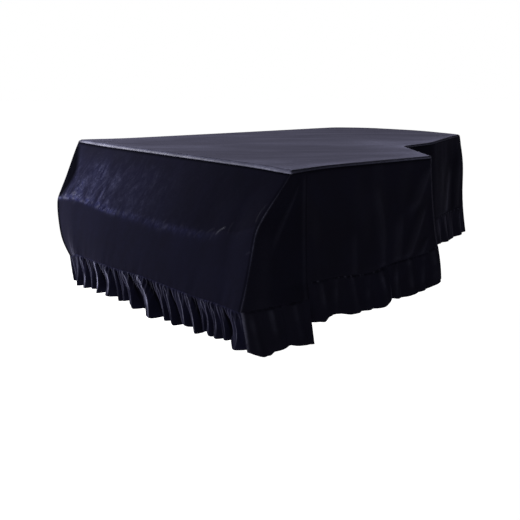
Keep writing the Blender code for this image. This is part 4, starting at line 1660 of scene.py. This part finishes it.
@dataclass(frozen=True)
class Velvet:
    """Dark navy velvet: its base colour, its pressed colour with painted sheen, its pale colour for
    scuffs and painted highlights, its painted shade colour and the sheen of its pile.
    """

    base: Colour = (0.0056, 0.0052, 0.0080, 1.0)
    # Pressed colour, which also paints sheen on the pressed patches and paints the lit front bluer.
    pressed_and_sheen: Colour = (0.020, 0.022, 0.075, 1.0)
    # Pale colour for scuffs and for painted highlights.
    rubbed: Colour = (0.190, 0.190, 0.290, 1.0)
    # Painted shade colour.
    leaning: Colour = (0.0008, 0.0008, 0.0016, 1.0)
    roughness: float = 0.45
    sheen: float = 0.130
    sheen_roughness: float = 0.22
    sheen_tint: Colour = (0.71, 0.69, 1.0, 1.0)
    specular: float = 0.0
    coat_roughness: float = 0.34
    coat_ior: float = 1.30
    relief: float = 0.5
    relief_depth: float = 0.0010
    grain: float = 0.6
    stroke_tilt: float = math.radians(32)
    stroke_shape: tuple[float, float, float] = (0.62, 1.0, 1.70)
    blotches: Marks = Marks(17.0, 3.0, 1.2, 0.36, 0.70, swept=True)
    flecks: Marks = Marks(46.0, 3.0, 1.4, 0.42, 0.74)
    clouds: Marks = Marks(7.0, 2.0, 0.4, 0.35, 0.70)
    pile: Marks = Marks(900.0, 2.0, 0.0, 0.0, 1.0)
    press_and_sheen_power: float = 3.0
    fleck_gain: float = 1.1
    fleck_floor: float = 0.30
    press_and_sheen_tint: float = 0.22
    cloud_tint: float = 0.03
    pale_flecks: float = 0.5
    worn_floor: float = 0.7
    pale_coat: float = 0.28
    mottled_coat: float = 0.06
    pile_height: float = 0.15
    mottled_height: float = 0.85

    def nap_group(self) -> bpy.types.NodeTree:
        """The shader group that shades the pile: colour with painted sheen, highlights and shade, coat
        and height from its marks.
        """
        group = bpy.data.node_groups.new("velvet_nap", "ShaderNodeTree")
        add_socket = group.interface.new_socket
        for name, colour in (("Base", self.base), ("Pressed_and_sheen", self.pressed_and_sheen),
                             ("Scuffed_and_lit", self.rubbed), ("Painted_shade_colour", self.leaning)):
            add_socket(name, in_out="INPUT", socket_type="NodeSocketColor").default_value = colour
        for name in ("Press_and_sheen", "Rub", "Lean"):
            add_socket(name, in_out="INPUT", socket_type="NodeSocketFloat").default_value = 0.0
        add_socket("Place", in_out="INPUT", socket_type="NodeSocketVector")
        add_socket("Colour", in_out="OUTPUT", socket_type="NodeSocketColor")
        add_socket("Coat", in_out="OUTPUT", socket_type="NodeSocketFloat")
        add_socket("Height", in_out="OUTPUT", socket_type="NodeSocketFloat")
        nodes = group.nodes
        links = group.links
        given = nodes.new("NodeGroupInput")
        result = nodes.new("NodeGroupOutput")

        def draw(marks: Marks) -> object:
            """The marks' value over the cloth."""
            texture = nodes.new("ShaderNodeTexNoise")
            set_inputs(texture, {"Scale": marks.scale, "Detail": marks.detail,
                                 "Roughness": self.grain, "Distortion": marks.distortion})
            links.new(stroke.outputs["Vector"] if marks.swept else given.outputs["Place"],
                      texture.inputs["Vector"])
            ramp = nodes.new("ShaderNodeMapRange")
            set_inputs(ramp, {"From Min": marks.low, "From Max": marks.high})
            links.new(texture.outputs["Fac"], ramp.inputs["Value"])
            return ramp.outputs["Result"]

        def combine(operation: str, first: object, second: object) -> object:
            """Two values put together."""
            node = nodes.new("ShaderNodeMath")
            node.operation = operation
            for socket, value in zip(node.inputs, (first, second)):
                if isinstance(value, float):
                    socket.default_value = value
                else:
                    links.new(value, socket)
            return node.outputs["Value"]

        times = partial(combine, "MULTIPLY")
        plus = partial(combine, "ADD")

        def mix(factor: object, first: object, second: object) -> object:
            """Two colours mixed by a factor."""
            node = nodes.new("ShaderNodeMix")
            node.data_type = "RGBA"
            links.new(factor, node.inputs["Factor"])
            links.new(first, node.inputs["A"])
            links.new(second, node.inputs["B"])
            return node.outputs["Result"]

        stroke = nodes.new("ShaderNodeMapping")
        stroke.vector_type = "TEXTURE"
        set_inputs(stroke, {"Rotation": (0.0, self.stroke_tilt, 0.0), "Scale": self.stroke_shape})
        links.new(given.outputs["Place"], stroke.inputs["Vector"])
        blotches, flecks, clouds, pile = (
            draw(marks) for marks in (self.blotches, self.flecks, self.clouds, self.pile))
        press_and_sheen = given.outputs["Press_and_sheen"]
        lean = given.outputs["Lean"]
        # Pressed patches mottled with painted sheen; the even lift below paints the lit front bluer.
        deep = times(combine("POWER", press_and_sheen, self.press_and_sheen_power), combine("SUBTRACT", 1.0, lean))
        mottled = times(blotches, plus(times(flecks, self.fleck_gain), self.fleck_floor))
        mottled = times(mottled, deep)
        even_press_and_sheen = plus(times(press_and_sheen, self.press_and_sheen_tint), times(clouds, self.cloud_tint))
        colour = mix(plus(mottled, even_press_and_sheen), given.outputs["Base"], given.outputs["Pressed_and_sheen"])
        # Pale scuffs and painted highlights, mottled by the flecks.
        paleness = plus(times(flecks, self.pale_flecks), self.worn_floor)
        paleness = times(paleness, given.outputs["Rub"])
        # Painted shade: the colour goes dark where the painted shade attribute is high.
        colour = mix(lean, colour, given.outputs["Painted_shade_colour"])
        colour = mix(paleness, colour, given.outputs["Scuffed_and_lit"])
        coat = plus(times(paleness, self.pale_coat), times(mottled, self.mottled_coat))
        height = plus(times(pile, self.pile_height), times(mottled, self.mottled_height))
        links.new(colour, result.inputs["Colour"])
        links.new(coat, result.inputs["Coat"])
        links.new(height, result.inputs["Height"])
        return group

    def material(self) -> bpy.types.Material:
        """The cover's material, with the nap group feeding a Principled shader."""
        made = bpy.data.materials.new("navy_velvet")
        made.use_nodes = True
        nodes = made.node_tree.nodes
        links = made.node_tree.links
        shader = nodes["Principled BSDF"]
        set_inputs(shader, {
            "Roughness": self.roughness,
            "Sheen Weight": self.sheen,
            "Sheen Roughness": self.sheen_roughness,
            "Sheen Tint": self.sheen_tint,
            "Specular IOR Level": self.specular,
            "Coat Roughness": self.coat_roughness,
            "Coat IOR": self.coat_ior,
        })
        nap = nodes.new("ShaderNodeGroup")
        nap.node_tree = self.nap_group()
        place = nodes.new("ShaderNodeTexCoord")
        links.new(place.outputs["Object"], nap.inputs["Place"])
        for channel in MarksAndLight:
            reader = nodes.new("ShaderNodeAttribute")
            reader.attribute_name = channel.value
            links.new(reader.outputs["Fac"], nap.inputs[channel.value.capitalize()])
        relief = nodes.new("ShaderNodeBump")
        set_inputs(relief, {"Strength": self.relief, "Distance": self.relief_depth})
        links.new(nap.outputs["Height"], relief.inputs["Height"])
        links.new(nap.outputs["Colour"], shader.inputs["Base Color"])
        links.new(nap.outputs["Coat"], shader.inputs["Coat Weight"])
        links.new(relief.outputs["Normal"], shader.inputs["Normal"])
        return made


# ------------------------------------------------------------------ the studio
@dataclass(frozen=True)
class SoftBox:
    """A soft area light: its place, what it faces, its size and its power."""

    name: str
    place: tuple[float, float, float]
    target: tuple[float, float, float]
    width: float
    height: float
    power: float

    def build(self) -> None:
        """Hang the light and turn it to its target."""
        data = bpy.data.lights.new(self.name, "AREA")
        data.shape = "RECTANGLE"
        data.size = self.width
        data.size_y = self.height
        data.energy = self.power
        lamp = linked(data)
        lamp.location = self.place
        away = Vector(self.target) - Vector(self.place)
        lamp.rotation_euler = away.to_track_quat("-Z", "Y").to_euler()


@dataclass
class Studio:
    """The pale floor, the soft lights and the camera."""

    floor_drop: float = LID_HEIGHT - CLOTH
    floor_radius: float = 40.0
    floor_colour: Colour = (0.30, 0.30, 0.30, 1.0)
    floor_roughness: float = 0.9
    backdrop: float = 1.0
    ambient: float = 0.03
    floor_glow: float = 1.0
    eye: tuple[float, float, float] = (2.849, -2.559, 0.307)
    heading: float = 52.045
    pitch: float = 12.494
    lens: float = 58.17
    lights: Sequence[SoftBox] = (
        SoftBox("key_left", (-2.2, -1.6, 0.8), (-0.2, -0.8, -0.3), 1.2, 1.2, 180.0),
    )

    def _floor(self) -> None:
        """A wide pale disc under the cover."""
        mesh = bmesh.new()
        bmesh.ops.create_circle(mesh, cap_ends=True, segments=128, radius=self.floor_radius)
        bmesh.ops.translate(mesh, vec=(0.0, 0.0, -self.floor_drop), verts=mesh.verts)
        data = bpy.data.meshes.new("floor")
        mesh.to_mesh(data)
        mesh.free()
        paint = bpy.data.materials.new("pale_floor")
        paint.use_nodes = True
        set_inputs(paint.node_tree.nodes["Principled BSDF"], {
            "Base Color": self.floor_colour,
            "Roughness": self.floor_roughness,
            "Emission Color": WHITE,
            "Emission Strength": self.floor_glow,
        })
        data.materials.append(paint)
        linked(data)

    def _world(self) -> None:
        """An even surround: a white backdrop to the camera and a dimmer one to the cloth."""
        world = bpy.data.worlds.new("studio")
        world.use_nodes = True
        tree = world.node_tree
        ground = tree.nodes["Background"]
        path = tree.nodes.new("ShaderNodeLightPath")
        strength = tree.nodes.new("ShaderNodeMapRange")
        set_inputs(ground, {"Color": WHITE})
        set_inputs(strength, {"To Min": self.ambient, "To Max": self.backdrop})
        tree.links.new(path.outputs["Is Camera Ray"], strength.inputs["Value"])
        tree.links.new(strength.outputs["Result"], ground.inputs["Strength"])
        bpy.context.scene.world = world

    def _camera(self) -> None:
        """The camera at the near treble corner, a little above the lid."""
        data = bpy.data.cameras.new("camera")
        data.lens = self.lens
        camera = linked(data)
        camera.location = self.eye
        camera.rotation_euler = (math.radians(90 - self.pitch), 0.0, math.radians(self.heading))
        bpy.context.scene.camera = camera

    def build(self) -> None:
        """Set up the whole studio."""
        bpy.context.scene.view_settings.view_transform = "Standard"
        self._floor()
        self._world()
        self._camera()
        for light in self.lights:
            light.build()


# ------------------------------------------------------------------ putting the cover together
TREBLE_FOLDS = (
    Fold(0.034, 0.02, 0.044, 1.00, 0.0012, 0.014, 0.018),
    Fold(0.218, 0.50, 0.216, 1.00, 0.0040, 0.020, 0.014),
    Fold(0.325, 0.10, 0.360, 0.62, 0.0050, 0.030, 0.016),
    Fold(0.359, 0.60, 0.360, 1.00, 0.0050, 0.022, 0.014),
    Fold(0.456, 0.45, 0.440, 0.95, 0.0070, 0.028, 0.018),
    Fold(0.625, 0.03, 0.540, 0.42, 0.0070, 0.034, 0.022),
    Fold(0.590, 0.45, 0.508, 0.90, 0.0100, 0.024, 0.015),
    Fold(0.592, 0.82, 0.556, 1.00, 0.0060, 0.014, 0.010),
)
TREBLE_GATHERS = (
    Gather(0.060, 0.070, 0.075, 0.050, 0.020, 0.025),
    Gather(0.135, 0.130, 0.130, 0.030, 0.008, 0.03),
    Gather(0.205, 0.215, 0.225, 0.046, 0.014, 0.04),
    Gather(0.290, 0.280, 0.275, 0.030, 0.008, 0.03),
    Gather(0.345, 0.365, 0.365, 0.050, 0.024, 0.05),
    Gather(0.440, 0.430, 0.430, 0.034, 0.010, 0.04),
    Gather(0.500, 0.505, 0.510, 0.044, 0.014, 0.05),
    Gather(0.575, 0.565, 0.560, 0.030, 0.010, 0.04),
    Gather(0.612, 0.620, 0.618, 0.030, 0.014, 0.04),
)
TREBLE_HEM = (
    (0.000, 0.004), (0.045, 0.010), (0.068, 0.015), (0.088, 0.002), (0.115, 0.003),
    (0.190, 0.010), (0.225, 0.004), (0.240, -0.004), (0.300, -0.001), (0.350, 0.003),
    (0.372, -0.003), (0.392, -0.007), (0.446, 0.007), (0.530, 0.009), (0.600, 0.009),
    (0.633, 0.010),
)
BENTSIDE_FOLDS = (
    Fold(0.090, 0.05, 0.120, 0.90, 0.0050, 0.045, 0.045),
    Fold(0.380, 0.10, 0.400, 1.00, -0.0060, 0.090, 0.090),
    Fold(0.560, 0.10, 0.540, 1.00, 0.0040, 0.070, 0.080),
    Fold(0.820, 0.10, 0.790, 1.00, 0.0050, 0.080, 0.060),
    Fold(0.980, 0.25, 0.850, 1.00, 0.0060, 0.050, 0.060),
    Fold(1.090, 0.15, 1.050, 1.00, 0.0060, 0.040, 0.040),
)
TAIL_FOLDS = (
    Fold(0.060, 0.10, 0.120, 0.80, 0.0060, 0.030, 0.030),
    Fold(0.220, 0.15, 0.250, 1.00, 0.0080, 0.050, 0.045),
    Fold(0.400, 0.25, 0.390, 1.00, 0.0050, 0.040, 0.040),
    Fold(0.600, 0.15, 0.580, 1.00, 0.0070, 0.050, 0.045),
    Fold(0.800, 0.12, 0.760, 0.90, 0.0060, 0.035, 0.035),
)
BASS_FOLDS = (
    Fold(0.120, 0.10, 0.080, 0.90, 0.0060, 0.040, 0.030),
    Fold(0.350, 0.15, 0.330, 1.00, 0.0070, 0.060, 0.045),
    Fold(0.560, 0.30, 0.580, 1.00, 0.0050, 0.040, 0.040),
    Fold(0.820, 0.15, 0.860, 1.00, 0.0080, 0.060, 0.050),
    Fold(1.040, 0.30, 1.020, 1.00, 0.0045, 0.040, 0.040),
    Fold(1.220, 0.15, 1.190, 1.00, 0.0060, 0.050, 0.045),
    Fold(1.380, 0.10, 1.400, 0.90, 0.0050, 0.035, 0.035),
)


@dataclass
class PianoCover:
    """The whole cover."""

    velvet: Velvet = Velvet()
    gather_pitch: float = 0.105
    gather_depth: float = 0.012

    def sheets(self) -> list[ClothSheet]:
        """Every sheet but the top panel."""
        runs = (
            ("treble_side_panel", SLIT_REACH, TREBLE_TURN, TREBLE_HANG, TREBLE_FOLDS, 13,
             {"gathers": TREBLE_GATHERS, "hem_steps": TREBLE_HEM, "end_rub": 0.10}),
            # The bentside gets painted shade and a fainter painted highlight on its folds.
            ("bentside_panel", TREBLE_TURN, TAIL_TREBLE_TURN, BENTSIDE_HANG, BENTSIDE_FOLDS, 14,
             {"fold_rub": 0.012, "shade": 0.35}),
            ("tail_panel", TAIL_TREBLE_TURN, TAIL_BASS_TURN, TAIL_HANG, TAIL_FOLDS, 15, {}),
            ("bass_side_panel", TAIL_BASS_TURN, BASS_SLIT, BASS_HANG, BASS_FOLDS, 16, {}),
        )
        made = FrontFlap().build()
        made += Cheek("treble", 1, TREBLE_HANG[0], SLIT_REACH, 11).build()
        made += Cheek("bass", -1, BASS_HANG[-1], BASS_SLIT, 12).build()
        for name, start, end, hang, folds, seed, own in runs:
            gathers = uneven_gathers(end - start, self.gather_pitch, self.gather_depth, seed)
            panel = SidePanel(name, start, end, hang, folds, gathers, seed)
            made += replace(panel, **own).build()
        return made

    def build(self) -> None:
        """Make every piece, dress it and tie it to the frame."""
        cloth = self.velvet.material()
        top = TopPanel()
        made = [("top_panel", top.build(), top.flat, top.area, "draped")]
        for sheet in self.sheets():
            made.append((sheet.name, sheet.build(), sheet.flat, sheet.area, sheet.held))
        for node, piece, flat, area, held in made:
            piece.data.materials.append(cloth)
            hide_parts(node)
            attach(piece, BODY)
            log.info("%s: %d faces", piece.name, len(piece.data.polygons))


def main() -> None:
    """Load the frame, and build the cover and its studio."""
    logging.basicConfig(level=logging.INFO, format="%(name)s: %(message)s")
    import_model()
    Studio().build()
    PianoCover().build()
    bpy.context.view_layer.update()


if __name__ == "__main__":
    main()
